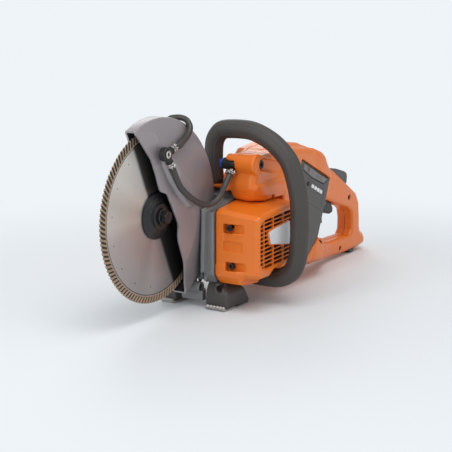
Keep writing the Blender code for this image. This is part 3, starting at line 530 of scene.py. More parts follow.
def surface(name, *, color, rough, grain, metal=0.0, grain_scale=900.0, vary=0.06,
            vary_scale=18.0, rough_vary=0.08, wear=None, wear_amount=0.0, coat=0.0,
            second=None):
    """A surface with varied colour and roughness and a fine grain; `second` is a mottling
    colour and `wear` the colour of worn edges."""
    material, tree, shader = new_material(name)
    place = add_node(tree, "TexCoord").outputs["Object"]
    broad = noise(tree, place, vary_scale, 5.0)
    base = scaled(tree, color, remap(tree, broad, (0.3, 0.7), (1.0 - vary, 1.0 + vary)))
    if second is not None:
        patches = remap(tree, noise(tree, place, 60.0, 8.0), (0.45, 0.75))
        base = mix(tree, patches, base, (*second, 1))
    if wear is not None:
        pointiness = add_node(tree, "NewGeometry").outputs["Pointiness"]
        worn = calc(tree, 'MULTIPLY', remap(tree, pointiness, (0.53, 0.62)),
                    noise(tree, place, 220.0, 6.0))
        base = mix(tree, calc(tree, 'MULTIPLY', worn, wear_amount), base, (*wear, 1))
    set_inputs(tree, shader, {
        "Base Color": base, "Metallic": metal,
        "Roughness": remap(tree, broad, target=(max(0.02, rough - rough_vary),
                                                min(1.0, rough + rough_vary))),
        "Normal": bump(tree, noise(tree, place, grain_scale, 3.0), grain, 0.0002)})
    if coat:
        set_inputs(tree, shader, {"Coat Weight": coat, "Coat Roughness": 0.25})
    return material


# ================================================================ materials
ORANGE = surface("orange_moulding", color=(0.80, 0.178, 0.012), rough=0.33, grain=0.12,
                 grain_scale=1400, vary=0.04, rough_vary=0.06, coat=0.12,
                 wear=(0.95, 0.42, 0.16), wear_amount=0.35)
GUARD_GREY = surface("guard_paint_grey", color=(0.345, 0.312, 0.328), rough=0.38, metal=0.30,
                     grain=0.16, grain_scale=1600, vary=0.03, rough_vary=0.05,
                     wear=(0.55, 0.53, 0.54), wear_amount=0.5)
# painted shade: the guard's inner faces, near-black for the shade inside the guard
GUARD_INSIDE_PAINTED_SHADE = surface("guard_inside_painted_shade", color=(0.018, 0.017, 0.018), rough=0.6, grain=0.3,
                       grain_scale=500, vary=0.3, second=(0.05, 0.045, 0.045))
CAST_GREY = surface("casting_paint_grey", color=(0.215, 0.218, 0.220), rough=0.40, metal=0.25,
                    grain=0.35, grain_scale=1100, vary=0.05, wear=(0.5, 0.52, 0.52),
                    wear_amount=0.7)
HANDLE_RUBBER = surface("handle_rubber", color=(0.060, 0.054, 0.050), rough=0.58, grain=0.3,
                        grain_scale=1500, vary=0.06, rough_vary=0.07)
HOSE_RUBBER = surface("hose_rubber", color=(0.050, 0.045, 0.042), rough=0.36, grain=0.12,
                      grain_scale=900, vary=0.05, rough_vary=0.06)
FOOT_PLASTIC = surface("foot_plastic", color=(0.060, 0.055, 0.053), rough=0.48, grain=0.35,
                       grain_scale=900, vary=0.07, wear=(0.25, 0.24, 0.24), wear_amount=0.5)
BATTERY_GREY = surface("battery_shell_grey", color=(0.088, 0.080, 0.078), rough=0.50,
                       grain=0.30, grain_scale=1300, vary=0.05, wear=(0.2, 0.19, 0.19),
                       wear_amount=0.3)
LATCH_GREY = surface("latch_grey", color=(0.175, 0.165, 0.165), rough=0.42, grain=0.2,
                     grain_scale=1200, vary=0.04)
BLACK = surface("black_moulding", color=(0.014, 0.014, 0.014), rough=0.42, grain=0.2,
                grain_scale=1000, vary=0.1)
BLACK_STEEL = surface("blackened_steel", color=(0.022, 0.022, 0.024), rough=0.36, metal=0.25,
                      grain=0.12, grain_scale=700, vary=0.1, wear=(0.3, 0.3, 0.3),
                      wear_amount=0.5)
ZINC = surface("zinc_steel", color=(0.62, 0.61, 0.59), rough=0.28, metal=1.0, grain=0.12,
               grain_scale=500, vary=0.06, rough_vary=0.1)
SHOE_METAL = surface("worn_shoe_metal", color=(0.50, 0.47, 0.45), rough=0.42, metal=0.8,
                     grain=0.6, grain_scale=260, vary=0.12, rough_vary=0.15)
WHITE = surface("white_plate_plain", color=(0.78, 0.78, 0.80), rough=0.35, grain=0.03,
                vary=0.01)
WINDOW_WHITE = surface("charge_window_white", color=(0.85, 0.86, 0.86), rough=0.25,
                       grain=0.02, vary=0.01)
BLUE = surface("blue_moulding", color=(0.015, 0.07, 0.42), rough=0.35, grain=0.1, vary=0.05)
RED = surface("vent_red", color=(0.16, 0.010, 0.006), rough=0.5, grain=0.2, vary=0.1)
IRON = surface("machined_iron", color=(0.16, 0.155, 0.15), rough=0.42, metal=0.9, grain=0.4,
               grain_scale=400, vary=0.12, rough_vary=0.12)
COPPER = surface("lacquered_winding", color=(0.42, 0.15, 0.055), rough=0.38, metal=0.8,
                 grain=0.6, grain_scale=300, vary=0.2)
BOARD = surface("coated_board", color=(0.012, 0.11, 0.04), rough=0.35, grain=0.3,
                grain_scale=300, vary=0.15, second=(0.01, 0.05, 0.02))
# painted shade: near-black for the shade inside the motor cover, seen through the grille
CAVITY_PAINTED_SHADE = surface("cavity_painted_shade", color=(0.010, 0.009, 0.009), rough=0.8, grain=0.1, vary=0.2)

# Painted sheen, the brightness round the blade: (share of the turn, value); 0.5 is straight
# ahead, 0.75 is up
BLADE_SHEEN = [(0.0, 0.55), (0.10, 0.50), (0.20, 0.46), (0.27, 0.60), (0.31, 0.50),
               (0.38, 0.56), (0.46, 0.66), (0.50, 0.84), (0.545, 0.78), (0.60, 1.0),
               (0.66, 0.92), (0.70, 0.78), (0.80, 0.6), (1.0, 0.55)]


# painted sheen: a colour ramp of the brightness round the blade, fixed in space
def sheen_ramp(tree, share):
    ramp = add_node(tree, "ValToRGB", {"Fac": share})
    stops = ramp.color_ramp.elements
    for stop, (position, value) in zip(list(stops), (BLADE_SHEEN[0], BLADE_SHEEN[-1])):
        stop.position, stop.color = position, (value, value, value, 1)
    for position, value in BLADE_SHEEN[1:-1]:
        green, blue = (0.985, 0.95) if value > 0.7 else (0.94, 0.955)
        stops.new(position).color = (value, value * green, value * blue, 1)
    return ramp.outputs["Color"]


def blade_material(name):
    """Brushed steel with a painted sheen by angle round the axis and a painted reflection of
    the guard's shaded inside. Lengths are in metres.
    """
    rings_per_metre, streaks_per_radian = 2600.0, 2.2
    line_radius, line_half_width = 0.1038, 0.00055
    # edge of the painted reflection: slope, offset and softness, in metres
    shade_slope, shade_offset, shade_soft = -0.4456, -0.0045, 0.0035

    material, tree, shader = new_material(name)
    place = add_node(tree, "TexCoord").outputs["Object"]
    own = add_node(tree, "SeparateXYZ", {"Vector": place}).outputs
    flat = add_node(tree, "CombineXYZ", {"X": own["X"], "Y": own["Z"]}).outputs["Vector"]
    radius = length_of(tree, flat)
    angle = calc(tree, 'ARCTAN2', own["Z"], own["X"])
    polar = add_node(tree, "CombineXYZ", {
        "X": calc(tree, 'MULTIPLY', radius, rings_per_metre),
        "Y": calc(tree, 'MULTIPLY', angle, streaks_per_radian)}).outputs["Vector"]
    brushing = noise(tree, polar, 1.0, 4.0)
    # broad smudges, and a dark line round the core just inside the rim
    smudges = remap(tree, noise(tree, place, 9.0, 4.0), (0.3, 0.7), (0.92, 1.05))
    from_line = calc(tree, 'ABSOLUTE', calc(tree, 'SUBTRACT', radius, line_radius))
    base = mix(tree, calc(tree, 'LESS_THAN', from_line, line_half_width),
               scaled(tree, (0.74, 0.715, 0.69), smudges), (0.10, 0.09, 0.085, 1))
    # painted sheen by the angle about the blade's centre, which stays put as the blade turns
    position = add_node(tree, "NewGeometry").outputs["Position"]
    offset = add_node(tree, "VectorMath", {0: position, 1: tuple(BLADE_CENTRE / 1000)},
                      operation='SUBTRACT').outputs["Vector"]
    still = add_node(tree, "SeparateXYZ", {"Vector": offset}).outputs
    turn = calc(tree, 'ARCTAN2', still["Z"], still["X"])
    sheen = sheen_ramp(tree, remap(tree, turn, (-math.pi, math.pi)))
    base = mix(tree, 1.0, base, sheen, blend_type='MULTIPLY')
    # painted reflection: darker behind a slanting straight line, where the guard's shaded
    # inside is mirrored
    side = calc(tree, 'ADD',
                calc(tree, 'MULTIPLY_ADD', still["Z"], shade_slope, shade_offset), still["X"])
    shade = remap(tree, side, (-shade_soft, shade_soft), (0.10, 1.0),
                  interpolation_type='SMOOTHSTEP')
    base = mix(tree, 1.0, base, shade, blend_type='MULTIPLY')
    tangent = add_node(tree, "Tangent", direction_type='RADIAL', axis='Y')
    set_inputs(tree, shader, {
        "Base Color": base, "Metallic": 0.55, "Anisotropic": 0.5,
        "Roughness": remap(tree, brushing, (0.3, 0.7), (0.30, 0.44)),
        "Tangent": tangent.outputs["Tangent"],
        "Normal": bump(tree, brushing, 0.05, 0.0001)})
    return material


BLADE_STEEL = blade_material("brushed_core_steel")
SEGMENT = surface("sintered_segment", color=(0.42, 0.30, 0.21), rough=0.62, metal=0.25,
                  grain=0.9, grain_scale=420, vary=0.12, vary_scale=60,
                  second=(0.30, 0.22, 0.15))
GROOVE = surface("segment_groove", color=(0.055, 0.042, 0.032), rough=0.8, metal=0.1,
                 grain=0.6, grain_scale=300, vary=0.2)

# ================================================================ blade
CORE_R, CORE_HALF = 105.6, 1.2
BORE_R = 12.75
HOLE_COUNT, HOLE_RING_R, HOLE_R = 16, 93.0, 1.35


def blade_core(name):
    """The flat disc, filled between its outline and its holes by a 2D curve."""
    curve = bpy.data.curves.new(name + "_c", 'CURVE')
    curve.dimensions = '2D'
    curve.fill_mode = 'BOTH'
    curve.extrude = CORE_HALF / 1000
    loops = [circle(0, 0, CORE_R, 256), circle(0, 0, BORE_R, 64)]
    for i in range(HOLE_COUNT):
        a = math.radians(360 / HOLE_COUNT * i + 8)
        loops.append(circle(HOLE_RING_R * math.cos(a), HOLE_RING_R * math.sin(a), HOLE_R, 14))
    for loop in loops:
        spline = curve.splines.new('POLY')
        spline.points.add(len(loop) - 1)
        for p, (x, z) in zip(spline.points, loop):
            p.co = (x / 1000, z / 1000, 0, 1)
        spline.use_cyclic_u = True
    flat = bpy.data.objects.new(name + "_c", curve)
    bpy.context.scene.collection.objects.link(flat)
    bpy.context.view_layer.update()
    graph = bpy.context.evaluated_depsgraph_get()
    mesh = bpy.data.meshes.new_from_object(flat.evaluated_get(graph), depsgraph=graph)
    bpy.data.objects.remove(flat, do_unlink=True)
    bm = bmesh.new()
    bm.from_mesh(mesh)
    bmesh.ops.remove_doubles(bm, verts=bm.verts, dist=0.000003)
    bmesh.ops.recalc_face_normals(bm, faces=bm.faces)
    verts = [(v.co.x * 1000, -v.co.z * 1000, v.co.y * 1000) for v in bm.verts]
    faces = [tuple(v.index for v in face.verts) for face in bm.faces]
    bm.free()
    bpy.data.meshes.remove(mesh)
    put_outward(name, verts, faces, BLADE_STEEL, "blade_steel", replaces="diamond_blade",
                body="spindle", sharp=30)


blade_core("blade_core")

# Rim section: radius, radius in a groove, share of the half width
RIM_SIDE = [(105.2, 105.2, 1), (106.4, 106.4, 1), (108.0, 108.0, 1), (110.0, 110.0, 1),
            (112.0, 112.0, 1), (113.6, 113.6, 1), (114.6, 113.7, 1),
            (BLADE_R, BLADE_R - 1.1, 0.72)]
SEGMENTS, COLUMNS = 115, 12     # segments round the rim, columns of vertices in each
GROOVE_COLUMNS = 5              # of those, the ones set in
RIM_HALF, GROOVE_DEPTH = 1.55, 0.75
GROOVE_PAINT_R = 106.3          # the groove colour starts outside this radius


def blade_rim():
    section = RIM_SIDE + [(r, groove_r, -share) for r, groove_r, share in reversed(RIM_SIDE)]
    columns = SEGMENTS * COLUMNS
    verts, face_mat = [], []
    for i in range(columns):
        turn = 2 * math.pi * i / columns
        in_groove = i % COLUMNS < GROOVE_COLUMNS
        for r, groove_r, share in section:
            angle = turn + (r - 110.0) * 0.0045
            half = RIM_HALF
            if in_groove:
                half -= GROOVE_DEPTH * min(1.0, max(0.0, (r - 106.6) / 1.2))
                r = groove_r
            verts.append((r * math.cos(angle), half * share, r * math.sin(angle)))
        for k, point in enumerate(section):
            inner = min(point[0], section[(k + 1) % len(section)][0])
            face_mat.append(int(i % COLUMNS <= GROOVE_COLUMNS and inner >= GROOVE_PAINT_R))
    put_outward("blade_rim", verts, grid_faces(columns, len(section), rows_close=True),
                [SEGMENT, GROOVE], "blade_steel", body="spindle", sharp=25, face_mat=face_mat)


blade_rim()

# flange and washer: (radius, height) profiles
FLANGE = [(16.4, 12.0), (17.5, 11.2), (17.5, 8.4), (21.0, 8.0), (21.6, 7.2), (25.2, 6.6),
          (25.8, 5.6), (29.6, 4.8), (31.0, 3.6), (31.0, 1.5), (10.5, 1.5), (10.5, 12.0)]
WASHER = [(11.0, 12.4), (11.0, 15.0), (5.6, 15.0), (5.6, 12.4)]
lathe("flange_outer", fillet(FLANGE, 0.45, 3, closed=True), (0, 0, 0), BLACK_STEEL,
      "black_steel", 128, closed=True, replaces="outer_flange", body="spindle")
lathe("washer", fillet(WASHER, 0.5, 3, closed=True), (0, 0, 0), BLACK_STEEL,
      "black_steel", 64, closed=True, replaces="arbor_washer", body="spindle")

BOLT_R = 8.6
bolt = Field((-11, 11, -11), (11, 24.5, 11), 0.3)
bolt.add(prism(hexagon(BOLT_R, 0.35), 15.2, 22.2, 0.4))
bolt.keep(rod((0, 14.0, 0), (0, 22.6, 0), BOLT_R, 1.6)[0])
bolt.add(rod((0, 12.2, 0), (0, 15.4, 0), 4.8))
bolt.cut(rod((0, 21.2, 0), (0, 25, 0), 3.6, 0.6), 0.4)
put_field("bolt_head", bolt, BLACK_STEEL, "steel", replaces="arbor_bolt", body="spindle")

# ================================================================ guard
# x, z down the guard's open edge
GUARD_EDGE = [(54, 113), (40, 95.5), (25, 76.5), (16.5, 56), (10.4, 37.4), (8.2, 34.2),
              (-1.2, 30.4), (-4.2, 28.6), (-14.5, 8.5), (-24.6, -11.6), (-25.3, -16.0),
              (-24.7, -30.0), (-25.6, -36.5), (-36.5, -67.0), (-47.5, -98.5)]
# x, z of the crease between the front band and the raised rear part
CREASE = [(22, 116), (13, 92), (5, 68), (-8, 46), (-26, 25), (-43, 7.5)]
GUARD_FAR_Y = -10.4
GUARD_ROUND = 3.0
GUARD_STEPS, WALL_STEPS = 300, 64
GUARD_START = math.atan2(113, 54)
GUARD_END = math.radians(360) + math.atan2(-98.5, -47.5)


def edge_radius(angle):
    """How far from the centre the open edge lies at an angle."""
    dx, dz = math.cos(angle), math.sin(angle)
    for (px, pz), (qx, qz) in zip(GUARD_EDGE, GUARD_EDGE[1:]):
        ex, ez = qx - px, qz - pz
        across = dx * ez - dz * ex
        if abs(across) < 1e-9:
            continue
        r = (px * ez - pz * ex) / across
        t = ((dx * r - px) * ex + (dz * r - pz) * ez) / (ex * ex + ez * ez)
        if r > 0 and -1e-6 <= t <= 1 + 1e-6:
            return r


def ease(x):
    x = min(max(x, 0.0), 1.0)
    return x * x * (3 - 2 * x)


def crease_side(x, z):
    """Signed distance from the crease, positive on the raised rear side."""
    best, sign = 1e9, -1
    for (px, pz), (qx, qz) in zip(CREASE, CREASE[1:]):
        ex, ez = qx - px, qz - pz
        t = min(max(((x - px) * ex + (z - pz) * ez) / (ex * ex + ez * ez), 0), 1)
        d = math.hypot(x - px - ex * t, z - pz - ez * t)
        if d < best:
            best = d
            sign = 1 if (ex * (z - pz) - ez * (x - px)) < 0 else -1
    return best * sign


def wall_y(x, z):
    """Height of the guard's outer wall: the lowest of a band, a cone and a flat top."""
    inward = GUARD_R - math.hypot(x, z)
    side = crease_side(x, z)
    raised = ease((side + 0.8) / 3.2) * ease((z - 6.0) / 2.6)
    band = 11.0 + 0.115 * (54.0 - x)
    band += (1.2 + 5.2 * ease((112.0 - z) / 95.0)) * raised + 1.2 * ease(side / 40.0)
    swell = 0.9 * math.sin(min(1.0, inward / 30.0) * math.pi) * ease((z - 5) / 20)
    return min(band, 10.6 + 0.22 * inward + swell, 24.6 + 0.7 * raised)


def smooth_wall(x, z):
    around = ((0, 0), (0.7, 0), (-0.7, 0), (0, 0.7), (0, -0.7))
    return sum(wall_y(x + dx, z + dz) for dx, dz in around) / 5


def guard_section(angle):
    """(radius, y) from the open edge out over the rim and back in on the far side."""
    c, s = math.cos(angle), math.sin(angle)
    inner = edge_radius(min(max(angle, GUARD_START + 1e-4), GUARD_END - 1e-4))
    inner = min(inner, GUARD_R - 5.5)
    outer = GUARD_R - GUARD_ROUND
    section = []
    for k in range(WALL_STEPS + 1):
        r = inner + (outer - inner) * k / WALL_STEPS
        section.append((r, smooth_wall(r * c, r * s)))
    wall_end = section[-1][1]
    for k in range(1, 6):
        a = math.pi / 2 * k / 5
        section.append((outer + GUARD_ROUND * math.sin(a),
                        wall_end - GUARD_ROUND * (1 - math.cos(a))))
    far = GUARD_FAR_Y + 5.2 * ease(1 - (angle - GUARD_START) / 0.55)
    section += [(GUARD_R, 0.0), (GUARD_R, far + GUARD_ROUND)]
    for k in range(1, 5):
        a = math.pi / 2 * k / 4
        section.append((GUARD_R - GUARD_ROUND * (1 - math.cos(a)),
                        far + GUARD_ROUND - GUARD_ROUND * math.sin(a)))
    return section + [(118.0, far), (100.0, far), (70.0, GUARD_FAR_Y), (34.5, GUARD_FAR_Y)]


def guard_shell():
    verts = []
    for i in range(GUARD_STEPS + 1):
        angle = GUARD_START + (GUARD_END - GUARD_START) * i / GUARD_STEPS
        section = guard_section(angle)
        verts += [(r * math.cos(angle), y, r * math.sin(angle)) for r, y in section]
    faces = grid_faces(GUARD_STEPS + 1, len(section), row_closes=False)
    guard = put("guard_shell", verts, faces, [GUARD_GREY, GUARD_INSIDE_PAINTED_SHADE], "guard_paint",
                replaces="blade_guard")
    wall = guard.modifiers.new("Wall", 'SOLIDIFY')
    wall.thickness = 0.0026
    wall.offset = -1.0
    # the inner shell takes the second material, the painted shade of the guard's inside
    wall.material_offset = 1
    wall.material_offset_rim = 0
    wall.use_even_offset = True
    edge = guard.modifiers.new("EdgeRound", 'BEVEL')
    edge.limit_method = 'ANGLE'
    edge.angle_limit = math.radians(60)
    edge.width = 0.0006
    edge.segments = 2


guard_shell()

# ================================================================ casting
# x, z outlines of the outer plate and of the thicker part behind it
PLATE = [(-74, -3), (-74, -90), (-84, -103), (-104, -104), (-132, -104), (-134, -121),
         (-166, -121), (-168, -104), (-182, -103), (-191, -94), (-191, 5), (-182, 16.5),
         (-147, 15.5), (-131, 9.5)]
CASTING_BODY = [(-76, 2), (-76, -100), (-182, -104), (-191.5, -94), (-191.5, 6), (-182, 17),
                (-147, 16), (-131, 10)]


def motor_axis(y0, y1, radius):
    return rod((MOTOR[0], y0, MOTOR[1]), (MOTOR[0], y1, MOTOR[1]), radius)


def belt_outline(axle_r, n=24):
    """The outline round the blade's axle and the motor's, 8 smaller at the motor."""
    motor_r = axle_r - 8
    base = math.atan2(MOTOR[1], MOTOR[0])
    half = math.acos((axle_r - motor_r) / math.hypot(*MOTOR))
    out = []
    for i in range(n + 1):
        a = base + half + (2 * math.pi - 2 * half) * i / n
        out.append((axle_r * math.cos(a), axle_r * math.sin(a)))
    for i in range(n + 1):
        a = base - half + 2 * half * i / n
        out.append((MOTOR[0] + motor_r * math.cos(a), MOTOR[1] + motor_r * math.sin(a)))
    return out


casting = Field((-194, -41, -128), (-62, 46, 22), 1.0)
casting.add(prism(PLATE, 27.0, 42.8, 2.0))
rear_part = casting.like()
rear_part.add(prism(CASTING_BODY, -15.8, 30.0, 2.0))
rear_part.cut(rod((0, -12.85, 0), (0, 25.9, 0), GUARD_R + 1.0, 1.5))
casting.values = smooth_min(casting.values, rear_part.values, 1.5)
del rear_part
# front rib and the diagonal webs
casting.add(rod((-74.2, 26.0, 0), (-74.8, 24.0, -88), 2.6, 1.0), 1.6)
casting.add(prism_x([(34, -4), (41, -6), (41, -86), (34, -88)], -80, -73.6, 1.0), 1.2)
casting.add(bead([(-76, 24, -66), (-84, 20, -84), (-88, 12, -103)], 2.6), 2.0)
casting.add(bead([(-76, 33, -72), (-82, 28, -88), (-90, 22, -103)], 2.2), 2.0)
casting.cut(motor_axis(-60, 60, 7.6))
casting.cut(motor_axis(27.3, 60, 13.6))
# seam beside the orange housing
casting.cut(bead([(-128, 44.2, 9.5), (-76, 44.2, -5)], 1.0))
put_field("gear_casting", casting, CAST_GREY, "casting_paint")

# arm on the far side, with the belt room and the bearing boss
arm = Field((-164, -42, -78), (40, -11, 40), 1.0)
arm.add(prism(belt_outline(35.0), -38.0, -13.0, 2.0))
arm.cut(prism(belt_outline(32.0), -45.0, -17.5, 1.0))
arm.add(rod((0, -31.5, 0), (0, -15.0, 0), 21.0, 1.2), 1.5)
arm.cut(rod((0, -42, 0), (0, -5, 0), 17.4))
arm.cut(motor_axis(-60, 60, 7.6))
put_field("drive_arm", arm, CAST_GREY, "casting_paint", replaces="drive_housing")

# belt cover, with ribs and four screws
LID_SCREWS = ((22, 18), (-35, 22), (-150, -62), (18, -26))      # x, z
lid = Field((-164, -52, -78), (40, -36, 40), 0.9)
lid.add(prism(belt_outline(35.0), -49.6, -38.4, 2.2))
lid.add(prism(belt_outline(26.0), -51.4, -45.0, 1.6), 1.0)
lid.cut(prism(belt_outline(21.0), -54.0, -50.2, 0.8), 0.6)
for share in (0.30, 0.45, 0.60):
    lid.add(block((MOTOR[0] * share, -50.4, MOTOR[1] * share), (2.0, 1.2, 15.0), 0.7,
                  ex=(0.944, 0, 0.33), ez=(-0.33, 0, 0.944)), 0.6)
lid.cut(prism(belt_outline(32.4), -47.0, -30.0, 1.0))
for x, z in LID_SCREWS:
    lid.cut(rod((x, -55, z), (x, -48.6, z), 3.4))
put_field("belt_lid", lid, CAST_GREY, "casting_paint", replaces="belt_cover")


def socket_screw(name, tip, axis, r, height, replaces=None, material=BLACK_STEEL):
    """A socket-head screw: the head's top centre at tip, axis pointing out."""
    socket = hexagon(0.52 * r)

    def socket_distance(x, y, z):
        return np.maximum(outline_distance(socket, x, y), -(z + height * 0.62))
    head = Field((-r - 1, -r - 1, -height - 1.5), (r + 1, r + 1, 1), max(0.16, r / 22))
    head.add(rod((0, 0, -height), (0, 0, 0), r, 0.18 * r))
    head.cut((socket_distance, (-r, -r, -height), (r, r, 1)))
    head.cut(rod((0, 0, -0.12 * r), (0, 0, 1), 0.66 * r, 0, 0.9 * r), 0.1)
    turn = np.array(Vector((0, 0, 1)).rotation_difference(Vector(axis)).to_matrix()).T
    put_field(name, head, material, "black_steel", replaces, turn=turn, at=tip)


for i, (x, z) in enumerate(LID_SCREWS):
    socket_screw("belt_lid_screw_%d" % i, (x, -50.2, z), (0, -1, 0), 2.9, 2.4)

# ================================================================ motor cover
# x, z outlines: the cover, its lower bulge, the grille field and the white plate on it
COVER = [(-75.5, -3), (-75.5, -88), (-82, -95.5), (-110, -96), (-124, -86.5), (-178, -85.5),
         (-188, -78), (-188, -2), (-180, 8), (-150, 8.8), (-131, 8.0), (-82, 2)]
COVER_BULGE = [(-76.6, -76), (-76.8, -90), (-84, -100.8), (-96, -103.7), (-112, -105.2),
               (-128, -106.3), (-134.3, -100), (-135, -82)]
GRILLE = [(-83.2, -16), (-96, -9.2), (-128, -7.6), (-168, -5.0), (-182, -12), (-182, -70),
          (-168, -80.0), (-112, -81.0), (-92, -79), (-83.5, -70)]
GRILLE_PLATE = [(-107.5, -30.5), (-116, -27.5), (-162, -22.5), (-164, -54.5), (-112.5, -46)]
SLIT_COUNT, SLIT_PITCH, SLIT_HALF = 14, 5.75, 2.1
# x, z outlines of the cavity, and the y it runs between
CAVITIES = [
    ([(-88, -9), (-88, -86), (-92, -90), (-109, -91), (-123, -83.5), (-176, -82.5),
      (-184, -76), (-184, -8), (-178, -4), (-131, -4)], 30.0, 70.0, 0),
    ([(-89, -11.5), (-89, -79), (-176, -78.8), (-178, -11.5)], 69.0, 92.0, 0),
    ([(-86, -12), (-86, -77), (-172, -76.0), (-176, -12)], 91.0, 104.6, 2.0)]


def outward_share(y):
    return np.clip((y - HOUSING_Y) / COVER_DEPTH, 0, 1.2)


def cover_warp(x, y, z):
    """Narrow the cover towards its outer face."""
    out = outward_share(y)
    lift = (np.clip((z + 40) / 40.0, 0, 1) * 8.0 * out
            - np.clip((-60 - z) / 30.0, 0, 1) * 6.0 * out)
    return x + np.clip((x + 110) / 20.0, 0, 1) * 3.0 * out, z + lift


def front_recess(outline, offset, flat_half, r, low, high):
    """A recess in the front: a (y, x) outline, offset(y, z) from its middle height."""
    def distance(x, y, z):
        return round_join(outline_distance(outline, y, x) + r,
                          np.abs(offset(y, z)) - flat_half, r)
    return distance, low, high


def grille_slit(z_slit):
    """A slanting slit that stops at the field's border, the plate and three bars."""
    def distance(x, y, z):
        across = np.abs(z - z_slit - (x + 130) * -0.035) - SLIT_HALF
        border = outline_distance(GRILLE, x, z) + 2.6
        plate = -outline_distance(GRILLE_PLATE, x, z) + 1.6
        bars = np.minimum(np.minimum(np.abs(x + 97.0), np.abs(x + 121.6)), np.abs(x + 149.0))
        return np.maximum(np.maximum(across, border), np.maximum(plate, 0.95 - bars))
    return distance, (-186, 100, z_slit - 6), (-80, 114, z_slit + 6)


cover = Field((-192, 42, -110), (-70, 114, 13), 0.74)
cover.add(prism(COVER, 43.35, 110.5, 5.5, warp=cover_warp))
cover.add(prism(COVER_BULGE, 43.6, 83.0, 5.0), 5.0)
# a soft facet on the outer front corner
cover.cut(block((-74.0, 112.0, -45), (6.0, 6.0, 70), 0.5, ex=(1, 1, 0)), 3.0)
# two pockets, deep at the inner end and fading outwards: middle z, inner end y, half height
for z_mid, y0, half in ((-24.0, 57.0, 6.0), (-75.5, 60.5, 5.6)):
    pocket = [(y0, -83.4), (y0 + 15.0, -83.4), (y0 + 40.0, -74.5), (y0 + 40, -60), (y0, -60)]
    cover.cut(front_recess(pocket, lambda y, z: z - z_mid - (y - y0) * 0.03, half - 0.8, 0.8,
                           (-85, y0 - 1, z_mid - half - 2),
                           (-60, y0 + 42, z_mid + half + 3)), 0.7)
    cover.cut(block((-80.0, y0 + 6.5, z_mid), (5.0, 6.6, half + 0.6), 0.8), 0.5)
# two shallow steps between the pockets
cover.cut(front_recess([(57.0, -79.6), (84.0, -78.4), (93.0, -74.2), (93, -60), (57, -60)],
                       lambda y, z: z - (-48.3 - (y - 75) * 0.02), 6.4, 0.6,
                       (-82, 55, -60), (-60, 95, -37)), 0.5)
cover.cut(front_recess([(58.0, -77.9), (84.0, -77.2), (91.0, -73.8), (91, -60), (58, -60)],
                       lambda y, z: z + 36.5, 4.6, 0.6,
                       (-82, 55, -44), (-60, 95, -30)), 0.5)
for outline, y0, y1, r in CAVITIES:
    cover.cut(prism(outline, y0, y1, r))
# the grille field is set in, with a rounded frame
cover.cut(prism(GRILLE, 108.4, 118.0, 1.2, grow=-1.0), 1.0)
for i in range(SLIT_COUNT):
    cover.cut(grille_slit(-11.5 - SLIT_PITCH * i), 0.4)
cover.cut(prism(GRILLE_PLATE, 109.6, 118, 0.4, grow=0.9), 0.3)
for z in (-22.0, -74.0):
    cover.cut(rod((-70, 66, z), (-95, 66, z), 2.7))
put_field("motor_shroud", cover, ORANGE, "orange_plastic", replaces="motor_cover")
socket_screw("cover_screw_head_upper", (-78.9, 64.0, -24.0), (1, 0, 0), 4.3, 4.0,
             replaces="cover_screw_upper")
socket_screw("cover_screw_head_lower", (-78.9, 67.4, -75.5), (1, 0, 0), 4.3, 4.0,
             replaces="cover_screw_lower")

plate = Field((-168, 106.5, -58), (-104, 112.5, -18), 0.5)
plate.add(prism(GRILLE_PLATE, 107.0, 110.9, 0.6))
put_field("plain_plate", plate, WHITE, "white_plate", replaces="grille_plate")
# painted shade: a near-black sheet behind the grille's slits, standing in for the shade inside
# the cover
shade_sheet = Field((-182, 98.5, -84), (-82, 103, -4), 1.6)
shade_sheet.add(block((-131, 100.6, -44), (45, 0.9, 34), 0.4))
put_field("grille_shade_sheet", shade_sheet, CAVITY_PAINTED_SHADE, "black_plastic")

# ================================================================ orange housing
# x, z outlines; BATTERY is shared with the battery itself
BATTERY = [(-344, 8), (-253, 49), (-201, -70), (-271, -100.8), (-308.3, -73)]
LOW = [(-194, 24), (-345, 24), (-352, -10), (-345, -50), (-333.5, -101), (-325, -125),
       (-240, -114), (-194, -107)]
HIGH = [(-114, 19.5), (-118, 42), (-132, 58), (-152, 68), (-228, 70), (-234, 60),
        (-234, 19.5)]
REAR = [(-204, -20), (-204, 69.2), (-222, 69.5), (-285, 61.7), (-330, 42.7), (-348, 22),
        (-349, -20)]
STRIP = [(-229, 19.0), (-133.7, 19.0), (-133.7, 23.2), (-229, 23.2)]
SIDE = [(-113.3, 11.0), (-118.6, 29.2), (-200, 34), (-230, 24), (-230, -30), (-193, -30),
        (-193, 11.0)]
SIDE_FOOT = [(-112.0, 7.4), (-117, 30), (-205, 32), (-205, 10.5), (-150, 10.2), (-131, 9.3)]
HUMP = [(-165, 24), (-168, 60), (-180, 70), (-226, 75), (-285, 68), (-325, 53), (-352, 38),
        (-352, 10), (-200, 10)]
REAR_LOOP = [(-300, 58), (-325, 52), (-370, 31), (-420, 9.5), (-474, -21), (-503, -38),
             (-514, -54), (-517.5, -80), (-518.5, -100), (-524, -106), (-532, -109.5),
             (-538.5, -119), (-537, -131), (-512, -134.0), (-447, -133.0), (-402, -130),
             (-318, -121.5), (-290, -113), (-318, -60), (-320, 0)]
HAND_HOLE = [(-354.3, -18.5), (-392, -34), (-434, -48), (-470, -58.5), (-482, -66),
             (-486.5, -80), (-486, -98), (-478, -106), (-405, -104), (-375, -96),
             (-345, -84.5), (-315.2, -78.2), (-327.3, -44), (-339.8, -14.3)]
LOWER_BEAM = [(-290, -70), (-316, -77.5), (-345, -84.5), (-375, -95), (-410, -104),
              (-410, -130.5), (-318, -121.5), (-290, -113)]
TOP_BEAM = [(-300, 59), (-325, 52), (-370, 31), (-405, 15), (-395, -28), (-355, -16),
            (-330, -14), (-300, 10)]
